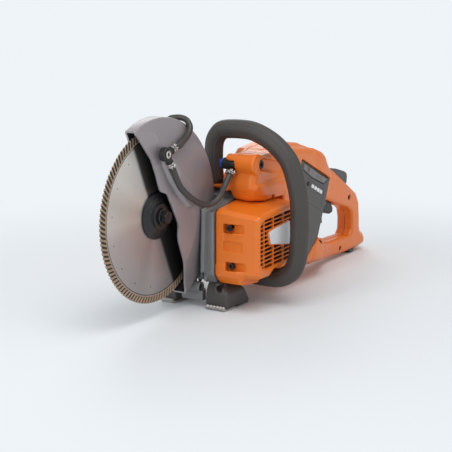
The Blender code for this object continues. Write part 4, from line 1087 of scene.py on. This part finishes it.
BAY_REAR = [(-368, 6.0), (-344.5, 6.0), (-306.3, -79.0), (-330, -96), (-368, -96)]
HOUSING_WALL = 3.2


def underside(x, y, z):
    """A slanting plane under the outer lower edge."""
    return -((y - 80) * 0.49 + (-105 + (x + 268) * 0.08 - z) * 0.87)


def front_corner(x, y, z):
    return -((x + 128) * 0.62 + (y - 78) * 0.78 - 14.6 * np.clip((z - 9) / 31, -0.3, 2))


def front_foot(x, y, z):
    return -(x + 121 - 9 * np.clip((z - 9) / 22, -0.3, 2))


def side_warp(x, y, z):
    return x, z + outward_share(y) * 7.8


solid = Field((-542, -44, -137), (-108, 89, 80), 1.2)
for shape, blend in (
        (prism(LOW, -42.0, 80.0, 8.0), 0.0),
        (prism(HIGH, 28.0, 81.0, 9.0), 3.0),
        (prism(REAR, 28.2, 80.7, 9.0), 3.0),
        (prism(STRIP, -41.0, 79.0, 1.5), 1.0),
        (prism(SIDE, 43.9, 84.0, 4.0), 3.0),
        (prism(HUMP, 12.0, 60.0, 9.0), 8.0),
        (prism(REAR_LOOP, 20.0, 50.0, 10.5), 9.0),
        # the lower beam and the top beam widen towards the body
        (flared_prism(LOWER_BEAM, -300, -410, 80.0, 48.5, 8.0), 6.0),
        (flared_prism(TOP_BEAM, -318, -400, 78.0, 47.0, 9.0), 8.0),
        # damper tube and its flared boss
        (rod((-126, 34.0, 57.2), (-126, 81.6, 57.2), 12.2, 2.0, 14.4), 5.0),
        (rod((-141, 62.0, 55.3), (-141, 81.2, 55.3), 13.4, 2.0), 5.0)):
    solid.add(shape, blend)
solid.cut(prism(HAND_HOLE, 0.0, 90.0), 6.0)
# recess running back from the boss, and the bolt's seat
solid.cut(block((-164, 88.6, 50.6), (30.0, 12.5, 8.4), 4.0, ex=(1, -0.10, 0.21)), 2.6)
solid.cut(rod((-137, 74.0, 56.0), (-137, 99, 56.0), 9.2, 0.5), 1.2)
solid.cut((underside, (-420, 30, -140), (-190, 90, -95)), 5.0)
solid.add(prism(SIDE_FOOT, 43.9, 83.6, 3.0, warp=side_warp), 4.0)
solid.cut((front_corner, (-156, 40, -4), (-100, 92, 62)), 8.0)
solid.cut((front_foot, (-140, 52, -4), (-100, 92, 40)), 5.0)
before_crease = solid.values.copy()
# crease along the side face
solid.cut(bead([(-118, 82.6, 34.5), (-140, 83.6, 30.0), (-165, 84.8, 30.5),
                (-205, 84.6, 26.0)], 1.3), 3.0)
# hollow it out, leave the battery bay's walls standing, then open the bay
shell = solid.like(np.maximum(solid.values, -(before_crease + HOUSING_WALL)))
bay = solid.like()
bay.add(prism(BATTERY, -1.4, 78.0, 0.5, grow=3.4))
shell.values = np.minimum(shell.values, np.maximum(bay.values, solid.values))
del solid, bay, before_crease
shell.cut(prism(BATTERY, 1.4, 95.0, grow=0.8), 1.0)
for shape, blend in (
        # front handle's foot, and the power button
        (rod((-150, -3.0, 0), (-150, -3.6, 29), 14.2), 1.0),
        (rod((-300, 5, 41), (-300, 31, 41), 8.6), 1.0),
        # two rooms for the trigger, one for the lockout
        (prism([(-446, -75), (-349.6, -75), (-349.6, -28.4), (-446, -28.4)], 26.5, 43.5), 0.8),
        (prism([(-394, -40), (-350.8, -40), (-350.8, -8), (-394, -8)], 26.8, 43.2), 0.0),
        (prism([(-484, -30), (-408.5, -30), (-408.5, 30), (-484, 30)], 26.4, 43.6), 0.8),
        # water valve, and the opening in front of it
        (rod((-123, 18, 56.0), (-123, 50.5, 56.0), 9.6), 1.5),
        (block((-113, 35, 49.5), (8.5, 15.4, 9.0), 2.0, ex=(1, 0, 0.25)), 2.0),
        # damper bolt, plug and the two grip screws
        (rod((-140, 72.4, 55.3), (-140, 77.0, 55.3), 6.8), 0.4),
        (rod((-163, 70, 8.5), (-163, 99, 8.5), 3.4), 0.8),
        (rod((-472, 46.0, -42), (-472, 60, -42), 4.4), 0.8),
        (rod((-443, 46.6, -121.5), (-443, 60, -121.5), 4.0), 0.8),
        # rear foot
        (rod((-493, 23.6, -128.5), (-493, 46.4, -128.5), 11.2), 0.6)):
    shell.cut(shape, blend)
# slot for the ring, with a pin left across it
ring_slot = shell.like()
ring_slot.add(block((-544.5, 35, -108.5), (23.2, 2.5, 18.5), 0.3))
ring_slot.cut(rod((-529, 25, -112.5), (-529, 45, -112.5), 2.0))
shell.values = np.maximum(shell.values, -ring_slot.values)
del ring_slot
# the bay's rear wall stops short of the battery's outer face
shell.cut(prism(BAY_REAR, 72.5, 95.0, 0.6), 0.8)
# terminals' opening in the bay's end wall
shell.cut(block((-282, -2, -33), (17, 9, 17), 0.5, ex=(0.912, 0, 0.411)))
for side, half_space in (("left", lambda x, y, z: 35.25 - y),
                         ("right", lambda x, y, z: y - 34.75)):
    part = shell.like(shell.values)
    part.keep(half_space)
    put_field("housing_shell_" + side, part, ORANGE, "orange_plastic",
              replaces="housing_" + side)
del shell, part

socket_screw("grip_screw_head", (-472, 48.6, -42), (0, 1, 0), 3.9, 2.6,
             replaces="handle_screw")
socket_screw("grip_screw_low", (-443, 48.2, -121.5), (0, 1, 0), 3.6, 2.0, material=RED)
socket_screw("damper_bolt_head", (-139.4, 79.0, 55.6), (0, 1, 0), 6.2, 5.0,
             replaces="damper_bolt")
lathe("vent_plug", [(0, 0.4), (2.6, 0.4), (3.1, 0.0), (3.1, -6.0), (0, -6.0)],
      (-163, 79.6, 8.5), RED, "orange_plastic", 24)

# ================================================================ front handle
# y, z up the right side, over the top and down the left side
HANDLE = [(-3.2, 18.3), (-3.6, 29), (-4.6, 48), (-4.8, 66), (-3.2, 81), (3.0, 92),
          (13, 98.6), (40, 100.4), (62, 98.0), (88, 86.5), (108, 70.0), (120, 52), (130, 18),
          (133.0, -14), (132.2, -48), (129.3, -73), (120.5, -90.5), (104, -100.5),
          (84, -102.6), (62, -102.3), (43.4, -102.3)]
HANDLE_R = 13.1
# angle in degrees, width in radians and depth; the last one stands up as a ridge
HANDLE_GROOVES = [(38, 0.10, 0.55), (62, 0.10, 0.55), (-52, 0.07, 0.4), (118, 0.10, 0.5),
                  (142, 0.10, 0.5), (-128, 0.07, 0.4), (90, 0.035, -0.35)]


def handle_section(n=96):
    out = []
    for k in range(n):
        a = 2 * math.pi * k / n
        r = HANDLE_R
        for degrees, width, depth in HANDLE_GROOVES:
            away = (a - math.radians(degrees) + math.pi) % (2 * math.pi) - math.pi
            r -= depth * math.exp(-(away / width) ** 2)
        out.append((r * math.cos(a), r * math.sin(a)))
    return out


pipe("front_grip", even_path(smooth_path([(HANDLE_X, y, z) for y, z in HANDLE], 10), 2.4),
     handle_section(), HANDLE_RUBBER, ref=(1, 0, 0), replaces="front_handle")
# collar where the handle meets the top of the body
COLLAR = [(13.4, -3.0), (14.9, -3.0), (14.9, 3.0), (13.4, 3.0)]
lathe("grip_collar_top", fillet(COLLAR, 0.8, 3, closed=True), (HANDLE_X, -3.4, 25.0), BLACK,
      "dark_rubber", 64, axis=(0, -0.05, 1.0), closed=True)

# ================================================================ hoses, splitter, clamps
HOSE_R = 4.05
SPLITTER = Vector((10.5, 25.6, 83.3))
UPPER = Vector((-0.96, -0.02, 0.26)).normalized()       # the way each outlet points
LOWER = Vector((-0.56, 0.06, -0.82)).normalized()
UPPER_HOSE = [(-20, 24.6, 90.5), (-35, 22.0, 95.5), (-49.5, 20.0, 102.8), (-58, 17.0, 111.0),
              (-61.5, 10.0, 118.6), (-61.5, 2.0, 121.9), (-58.5, -6, 122.2),
              (-56, -13, 120.6), (-52, -18, 114.0), (-47, -19.5, 105)]
LOWER_HOSE = [(-8.0, 28.5, 51), (-15, 30.5, 38), (-25.5, 33.0, 27.5), (-38, 35.0, 18.8),
              (-50.5, 37.5, 12.0), (-64, 41.0, 8.6), (-75.5, 44.5, 11.2), (-85, 46.8, 18.5),
              (-93, 48.0, 29.0), (-104, 48.0, 40.5), (-114, 47.2, 48.2)]
for name, outlet, stations, ref in (("upper", UPPER, UPPER_HOSE, (0.3, 0.9, 0.2)),
                                    ("lower", LOWER, LOWER_HOSE, (0.2, 0.95, 0.1))):
    start = [SPLITTER + outlet * d for d in (12.5, 17, 22)]
    pipe("water_hose_" + name, even_path(smooth_path(start + stations, 8), 1.6),
         circle(0, 0, HOSE_R, 28), HOSE_RUBBER, ref=ref, replaces="hose_" + name)


def splitter_rod(y0, y1, radius, r):
    return rod((10.5, y0, 83.3), (10.5, y1, 83.3), radius, r)


splitter = Field((-12, 18, 62), (22, 34, 95), 0.42)
splitter.add(splitter_rod(20.6, 30.2, 9.2, 1.4))
splitter.cut(splitter_rod(29.2, 34, 6.2, 0.2), 0.3)
splitter.add(splitter_rod(22.0, 29.6, 4.0, 0.2), 0.2)
for length, radius, blend in ((12.5, 4.6, 1.2), (19, 2.5, 0.3)):
    for outlet in (UPPER, LOWER):
        splitter.add(bead([SPLITTER, SPLITTER + outlet * length], radius), blend)
put_field("splitter_body", splitter, BLACK, "black_plastic", replaces="hose_splitter")
SPLITTER_CAP = [(5.4, 0.0), (5.4, 1.9), (3.4, 2.4), (2.6, 1.5), (2.2, 1.5), (2.2, 0.0)]
lathe("splitter_cap", fillet(SPLITTER_CAP, 0.3, 3, closed=True), (10.5, 28.9, 83.3), ZINC,
      "steel", 48, closed=True)
SPLITTER_PIN = [(0, 0.0), (1.7, 0.0), (1.7, 1.4), (0.9, 1.7), (0, 1.7)]
lathe("splitter_pin", fillet(SPLITTER_PIN, 0.2, 2), (10.5, 29.0, 83.3), BLACK,
      "black_steel", 24)


def band_clamp(name, at, along, replaces, ear):
    """A spring band clamp: a band with two turned-up ears and a screw between them."""
    r, width = 4.55, 5.4
    clamp = Field((-8.5, -8.5, -4.5), (8.5, 11.5, 4.5), 0.33)
    clamp.add(rod((0, 0, -width / 2), (0, 0, width / 2), r + 1.0, 0.25))
    clamp.cut(rod((0, 0, -9), (0, 0, 9), r - 0.15))
    for x in (-1.9, 1.9):
        clamp.add(block((x, r + 2.1, 0), (0.6, 2.3, width / 2 - 0.4), 0.3), 0.3)
    clamp.add(rod((-4.0, r + 2.6, 0), (4.0, r + 2.6, 0), 0.9), 0.1)
    clamp.add(rod((2.4, r + 2.6, 0), (4.6, r + 2.6, 0), 1.9, 0.3), 0.1)
    for i in range(6):
        a = math.radians(200 + 28 * i)
        c, s = math.cos(a), math.sin(a)
        clamp.add(block((c * (r + 1.0), s * (r + 1.0), 0), (0.45, 0.7, width / 2 - 0.8), 0.2,
                        ex=(c, s, 0)), 0.2)
    along = Vector(along).normalized()
    ear = Vector(ear)
    ear = (ear - along * ear.dot(along)).normalized()
    turn = np.array([list(ear.cross(along)), list(ear), list(along)])
    put_field(name, clamp, ZINC, "steel", replaces, turn=turn, at=at)


band_clamp("clamp_upper", SPLITTER + UPPER * 16.5, UPPER, "hose_clamp_upper", (0.5, 0.8, 0.4))
band_clamp("clamp_lower", SPLITTER + LOWER * 16.5, LOWER, "hose_clamp_lower", (0.6, 0.8, -0.2))
band_clamp("clamp_valve", Vector((-109.5, 47.6, 44.9)), (-0.77, -0.05, 0.63),
           "hose_clamp_valve", (0.4, 0.8, 0.5))

# valve and its turning knob
VALVE_X, VALVE_Z = -123, 56.0
VALVE = [(0, 49.6), (6.2, 49.6), (7.6, 48.0), (8.0, 44.0), (8.0, 30.0), (0, 30.0)]
lathe("valve_body", fillet(VALVE, 0.5, 3), (VALVE_X, 0, VALVE_Z), BLACK, "black_plastic", 64,
      replaces="water_valve")
knob = Field((-131, 21, 47.5), (-115, 30.5, 64.5), 0.3)
knob.add(rod((VALVE_X, 25.8, VALVE_Z), (VALVE_X, 29.6, VALVE_Z), 6.4, 0.7))
for x, z in circle(VALVE_X, VALVE_Z, 6.9, 12):
    knob.cut(rod((x, 24, z), (x, 32, z), 0.9), 0.3)
knob.add(block((VALVE_X, 24.6, VALVE_Z), (1.6, 2.3, 5.8), 0.8), 0.8)
put_field("water_tap_knob", knob, BLUE, "blue_plastic", replaces="water_knob",
          body="water_control")

# ================================================================ feet
# x, z outlines of a foot and of the metal shoe under its front
FOOT = [(-74.6, -134.6), (-75.2, -117), (-79, -106), (-84, -100.5), (-96, -99.5),
        (-104, -104), (-118, -109), (-130, -126), (-134, -133), (-130, -137.0),
        (-104, -137.0), (-101, -134.6)]
SHOE = [(-99.5, -138.0), (-99.5, -135.4), (-75.4, -135.4), (-73.4, -131.5), (-71.2, -131.2),
        (-70.2, -133.8), (-73.4, -138.0)]


def above_ground(x, y, z):
    return GROUND_Z - z


bracket = Field((-92, -25, -134), (-70, 25, -102), 0.62)
bracket.add(block((-82, 5.5, -121.0), (5.0, 17.3, 8.2), 1.6))
bracket.add(rod((-80, -18.4, -110.5), (-80, 19.6, -110.5), 7.5, 0.8), 1.6)
bracket.cut(rod((-80, -30, -110.5), (-80, 30, -110.5), 5.4))
bracket.cut(bead([(-76.2, -9, -119.6), (-76.2, 22, -119.6)], 1.2), 0.8)
put_field("bracket_casting", bracket, CAST_GREY, "casting_paint", replaces="foot_bracket")
web = Field((-108, -10, -120), (-78, -2, -103), 0.8)
web.add(block((-93, -6, -111.6), (12.5, 2.0, 6.4), 1.0))
put_field("bracket_web", web, CAST_GREY, "casting_paint")

# name, y range, y of the bolt hole, y of the outer face, outward direction
for name, y0, y1, hole_y, outer_y, out in (("left", 29.0, 64.0, 50.0, 64.0, 1),
                                           ("right", -45.0, -20.0, -30.0, -45.0, -1)):
    foot = Field((-137, y0 - 2, -139), (-71, y1 + 2, -97), 0.75)
    foot.add(prism(FOOT, y0, y1, 3.0))
    # raised eye round the bolt hole in the front, sloped outer side
    foot.add(rod((-76.5, hole_y, -108.5), (-98, hole_y, -107.5), 8.6, 1.5), 3.0)
    foot.cut(block((-96, outer_y + out * 3, -98), (50, 15, 14), 2.0, ez=(0, 0.8 * out, 1.0)),
             4.0)
    foot.cut(rod((-66, hole_y, -108.8), (-88, hole_y, -108.0), 4.7), 0.8)
    foot.cut(bead([(-73.6, y0 + 3, -122), (-73.6, y1 - 3, -122)], 1.0), 0.8)
    foot.cut(block((-88, (y0 + y1) / 2, -141), (16, (y1 - y0) / 2 - 1.0, 6.0), 0.6), 0.3)
    foot.keep(above_ground)
    put_field("foot_block_" + name, foot, FOOT_PLASTIC, "battery_plastic",
              replaces="front_foot_" + name)
    shoe = Field((-102, y0, -139.5), (-68, y1, -128), 0.5)
    shoe.add(prism(SHOE, y0 + 2.0, y1 - 2.0, 0.5))
    for i in range(6):
        y = y0 + 5.5 + i * (y1 - y0 - 9) / 5.2
        shoe.add(block((-72.0, y, -134.0), (1.8, 1.3, 3.4), 0.5, ex=(1, 0, -0.6),
                       ez=(0.5, 0.5, 1)), 0.5)
    shoe.keep(above_ground)
    put_field("shoe_" + name, shoe, SHOE_METAL, "steel", replaces="skid_plate_" + name)

# ribbed rear foot
pad = Field((-505, 22, -139), (-481, 48, -116), 0.5)
pad.add(rod((-493, 24, -128.5), (-493, 46, -128.5), 10.4, 1.2))
pad.cut(rod((-493, 20, -128.5), (-493, 50, -128.5), 3.2))
for i in range(5):
    pad.cut(bead([(-493 + 11.2 * math.cos(a), 24 + 3.7 * (i + 0.8), -128.5 + 11.2 * math.sin(a))
                  for a in np.linspace(0, 2 * math.pi, 41)], 1.2), 0.4)
pad.keep(above_ground)
put_field("rear_pad", pad, HOSE_RUBBER, "dark_rubber", replaces="rear_foot")

# ================================================================ battery
def unit_from_corner(corner):
    edge = np.array(BATTERY[corner], float) - np.array(BATTERY[0], float)
    return edge / np.linalg.norm(edge)


PACK_U, PACK_V = unit_from_corner(1), unit_from_corner(4)


def on_pack(u, v):
    """x, z of a point u along the pack's top edge and v down its rear edge."""
    x, z = np.array(BATTERY[0], float) + PACK_U * u + PACK_V * v
    return float(x), float(z)


def pack_box(u0, v0, u1, v1):
    return [on_pack(u0, v0), on_pack(u1, v0), on_pack(u1, v1), on_pack(u0, v1)]


LATCH = [on_pack(9, 3.0), on_pack(92, 3.0), on_pack(90, 12.0), on_pack(60, 15.0),
         on_pack(20, 13.0)]
pack = Field((-346, 0, -113), (-199, 83, 52), 0.9)
pack.add(prism(BATTERY, 2.0, 80.0, 3.2))
pack.cut(prism(LATCH, 68.0, 90.0, 0.4, grow=0.9), 0.3)
# window frame, cross line, four rib lines, two teeth at the rear edge, seams on the top
pack.cut(prism(pack_box(12, 19.5, 74, 44), 79.3, 84, 0.3), 0.6)
pack.cut(prism(pack_box(4, 52, 96, 53.2), 79.2, 84, 0.2), 0.4)
for v in (84, 89, 94, 99):
    pack.cut(prism(pack_box(30, v, 88, v + 1.3), 79.3, 84, 0.1), 0.4)
for v in (34.0, 62.0):
    tooth = [on_pack(-3.4, v + 6), on_pack(2, v - 3), on_pack(4, v + 8)]
    pack.add(prism(tooth, 74.0, 79.6, 0.6), 0.8)
for y in (20.0, 40.0, 60.0):
    pack.cut(prism(pack_box(-2, 1, 101, -2), y, y + 1.2, 0.1), 0.3)
put_field("pack_shell", pack, BATTERY_GREY, "battery_plastic", replaces="battery_pack",
          body="battery")

latch = Field((-340, 70, -2), (-248, 83, 50), 0.6)
latch.add(prism(LATCH, 72.5, 80.7, 1.4))
latch.cut(prism(pack_box(72, 5.5, 80, 10.5), 79.2, 84, 0.5), 0.4)
for i in range(5):
    latch.cut(prism(pack_box(30 + i * 4.2, 6, 31.6 + i * 4.2, 11), 80.0, 84, 0.2), 0.3)
put_field("pack_latch", latch, LATCH_GREY, "latch_plastic", replaces="battery_catch",
          body="catch")

# charge window: four bars and a button
bars = Field((-334, 78.2, -22), (-268, 82, 22), 0.4)
for i in range(4):
    u = 19.5 + i * 9.6
    bars.add(prism(pack_box(u, 23.8, u + 6.4, 29.0), 78.8, 80.9, 0.5))
bars.add(prism(pack_box(17.6, 22.8, 58.6, 30.0), 78.4, 79.05, 0.2), 0.1)
put_field("charge_bars", bars, WINDOW_WHITE, "white_plate", replaces="charge_display",
          body="battery")
button_x, button_z = on_pack(65.0, 26.4)
CHARGE_BUTTON = [(0, 0.9), (2.6, 0.9), (3.3, 0.2), (3.3, -1.0), (0, -1.0)]
lathe("charge_button", fillet(CHARGE_BUTTON, 0.3, 2), (button_x, 80.2, button_z), BLACK,
      "black_plastic", 32, body="battery")

# ================================================================ controls and ring
# x, z outlines
TRIGGER = [(-356, -4), (-356, -15), (-366, -28), (-384, -44), (-402, -56), (-420, -62),
           (-429, -61), (-431, -54), (-424, -44), (-400, -30), (-376, -12), (-366, -3)]
LOCKOUT = [(-411, 6.0), (-418, 11.5), (-440, 8.5), (-470, 0.5), (-477, -3.0), (-480, -8.5),
           (-478.5, -20), (-474, -22), (-440, -8), (-418, -6.0), (-410.5, -4.0)]


def finger_groove(x, z, radius):
    return bead([(x, 30.5, z), (x, 39.5, z)], radius)


trigger = Field((-434, 25.5, -66), (-353, 44.5, 0), 0.6)
trigger.add(prism(TRIGGER, 28.0, 42.0, 3.0))
trigger.cut(rod((-362, 20, -9), (-362, 50, -9), 2.4))
for i in range(7):
    t = 0.25 + i * 0.085
    x, z = -366 + (-429 + 366) * t, -30 + (-62 + 30) * t
    trigger.cut(finger_groove(x + 1.0, z - 1.4, 0.8), 0.5)
put_field("trigger_lever", trigger, BLACK, "black_plastic", replaces="throttle_trigger",
          body="trigger")
lockout = Field((-483, 26, -25), (-408, 44, 14), 0.6)
lockout.add(prism(LOCKOUT, 28.0, 42.0, 2.2))
lockout.cut(rod((-414, 20, -1), (-414, 50, -1), 2.0))
for i in range(6):
    x = -428 - i * 6.0
    z = 10.6 + (x + 420) * 0.24
    lockout.cut(finger_groove(x, z + 0.8, 0.9), 0.5)
put_field("lockout_paddle", lockout, BATTERY_GREY, "battery_plastic",
          replaces="lockout_lever", body="lockout")
START_BUTTON = [(0, 0.0), (4.6, 0.0), (5.4, 0.9), (7.2, 0.9), (8.0, 1.6), (8.0, 9.5),
                (0, 9.5)]
lathe("start_button", fillet(START_BUTTON, 0.4, 3), (-300, 8.5, 41), HANDLE_RUBBER,
      "dark_rubber", 64, replaces="power_button", body="power_button")

RING_CENTRE, RING_R, RING_WIRE_R = (-532.8, 35.0, -109.3), 8.6, 1.25
RING_STEPS, WIRE_STEPS = 72, 16
verts = []
for i in range(RING_STEPS):
    a = 2 * math.pi * i / RING_STEPS
    for r, y in circle(RING_R, RING_CENTRE[1], RING_WIRE_R, WIRE_STEPS):
        verts.append((RING_CENTRE[0] + r * math.cos(a), y, RING_CENTRE[2] + r * math.sin(a)))
put_outward("tie_ring", verts, grid_faces(RING_STEPS, WIRE_STEPS, rows_close=True), ZINC,
            "steel", replaces="lanyard_ring", body="lanyard")

# ================================================================ CAD nodes' materials
SLOT_MATERIALS = {
    "steel": ZINC, "black_steel": BLACK_STEEL, "dark_rubber": HOSE_RUBBER,
    "battery_plastic": BATTERY_GREY, "latch_plastic": LATCH_GREY, "black_plastic": BLACK,
    "white_plate": WHITE, "blue_plastic": BLUE, "motor_winding": COPPER, "motor_iron": IRON,
    "circuit_board": BOARD, "orange_plastic": ORANGE, "guard_paint": GUARD_GREY,
    "casting_paint": CAST_GREY, "blade_steel": BLADE_STEEL}
slot_of = {s["node"]: s["material_slot"] for s in frame["record"]["subparts"]}
for node, ob in frame["nodes"].items():
    material = SLOT_MATERIALS[slot_of[node]]
    for slot in ob.material_slots:
        slot.material = material
    if not ob.material_slots:
        ob.data.materials.append(material)

# ================================================================ stage (metres)
PALE = (0.855, 0.900, 0.935, 1)
FLOOR_HALF = 6.0
FLOOR_FADE = (0.30, 0.85)       # the floor turns into the pale backdrop between these radii


def mix_to_output(tree, output, factor, first, second):
    shader = add_node(tree, "MixShader", {0: factor, 1: first, 2: second})
    tree.links.new(shader.outputs[0], tree.nodes[output].inputs["Surface"])


def floor_material():
    material, tree, shader = new_material("studio_floor")
    set_inputs(tree, shader, {"Base Color": (0.80, 0.845, 0.88, 1), "Roughness": 0.6,
                              "Specular IOR Level": 0.2})
    away = length_of(tree, add_node(tree, "NewGeometry").outputs["Position"])
    fade = remap(tree, away, FLOOR_FADE, interpolation_type='SMOOTHSTEP')
    glow = add_node(tree, "Emission", {"Color": PALE})
    mix_to_output(tree, "Material Output", fade, shader.outputs[0], glow.outputs[0])
    return material


floor_mesh = bpy.data.meshes.new("floor")
floor_mesh.from_pydata([(x * FLOOR_HALF, y * FLOOR_HALF, 0)
                        for x, y in ((-1, -1), (1, -1), (1, 1), (-1, 1))], [], [(0, 1, 2, 3)])
floor_mesh.materials.append(floor_material())
floor = bpy.data.objects.new("floor", floor_mesh)
bpy.context.scene.collection.objects.link(floor)

# the world lights with a soft white, and the camera sees the pale backdrop
scene = bpy.context.scene
world = scene.world or bpy.data.worlds.new("studio")
scene.world = world
world.use_nodes = True
sky = world.node_tree
lighting = sky.nodes.get("Background")
set_inputs(sky, lighting, {"Color": (0.92, 0.925, 0.93, 1), "Strength": 0.50})
backdrop = add_node(sky, "Background", {"Color": PALE})
mix_to_output(sky, "World Output", add_node(sky, "LightPath").outputs["Is Camera Ray"],
              lighting.outputs[0], backdrop.outputs[0])
scene.view_settings.view_transform = 'Standard'

# ================================================================ camera
AZIMUTH, ELEVATION = math.radians(122.01225734808301), math.radians(11.5)
DISTANCE, SHIFT_RIGHT, SHIFT_UP = 1500.0, 92.41532051945127, -13.330526118533255
back = Vector((math.sin(AZIMUTH) * math.cos(ELEVATION),
               -math.cos(AZIMUTH) * math.cos(ELEVATION), math.sin(ELEVATION)))
right = Vector((math.cos(AZIMUTH), math.sin(AZIMUTH), 0))
up = back.cross(right)
eye = right * SHIFT_RIGHT + up * SHIFT_UP + back * DISTANCE
lens = bpy.data.cameras.new("camera")
lens.lens = 91.991
lens.sensor_width = 36.0
lens.clip_end = 100
camera = bpy.data.objects.new("camera", lens)
camera.location = (eye + Vector(BLADE_CENTRE)) / 1000
camera.rotation_euler = back.to_track_quat('Z', 'Y').to_euler()
scene.collection.objects.link(camera)
scene.camera = camera

# ================================================================ lights (metres, watts)
LIGHT_TARGET = (0, 0, 0.13)


def area(name, place, width, height, power, color):
    light = bpy.data.lights.new(name, 'AREA')
    light.shape = 'RECTANGLE'
    light.size, light.size_y = width, height
    light.energy = power
    light.color = color
    ob = bpy.data.objects.new(name, light)
    ob.location = place
    away = Vector(place) - Vector(LIGHT_TARGET)
    ob.rotation_euler = away.to_track_quat('Z', 'Y').to_euler()
    scene.collection.objects.link(ob)


area("key_top", place=(0.4, 0.5, 1.9), width=1.3, height=1.3, power=15,
     color=(1.0, 0.99, 0.98))
area("front_left", place=(2.0, -0.3, 1.0), width=1.0, height=1.3, power=13,
     color=(1.0, 1.0, 1.0))
area("side_right", place=(-0.3, 2.3, 0.9), width=1.1, height=0.9, power=5.0,
     color=(1.0, 0.99, 0.98))
area("rear_rim", place=(-1.4, -1.2, 1.3), width=1.2, height=1.2, power=10,
     color=(0.97, 0.99, 1.0))
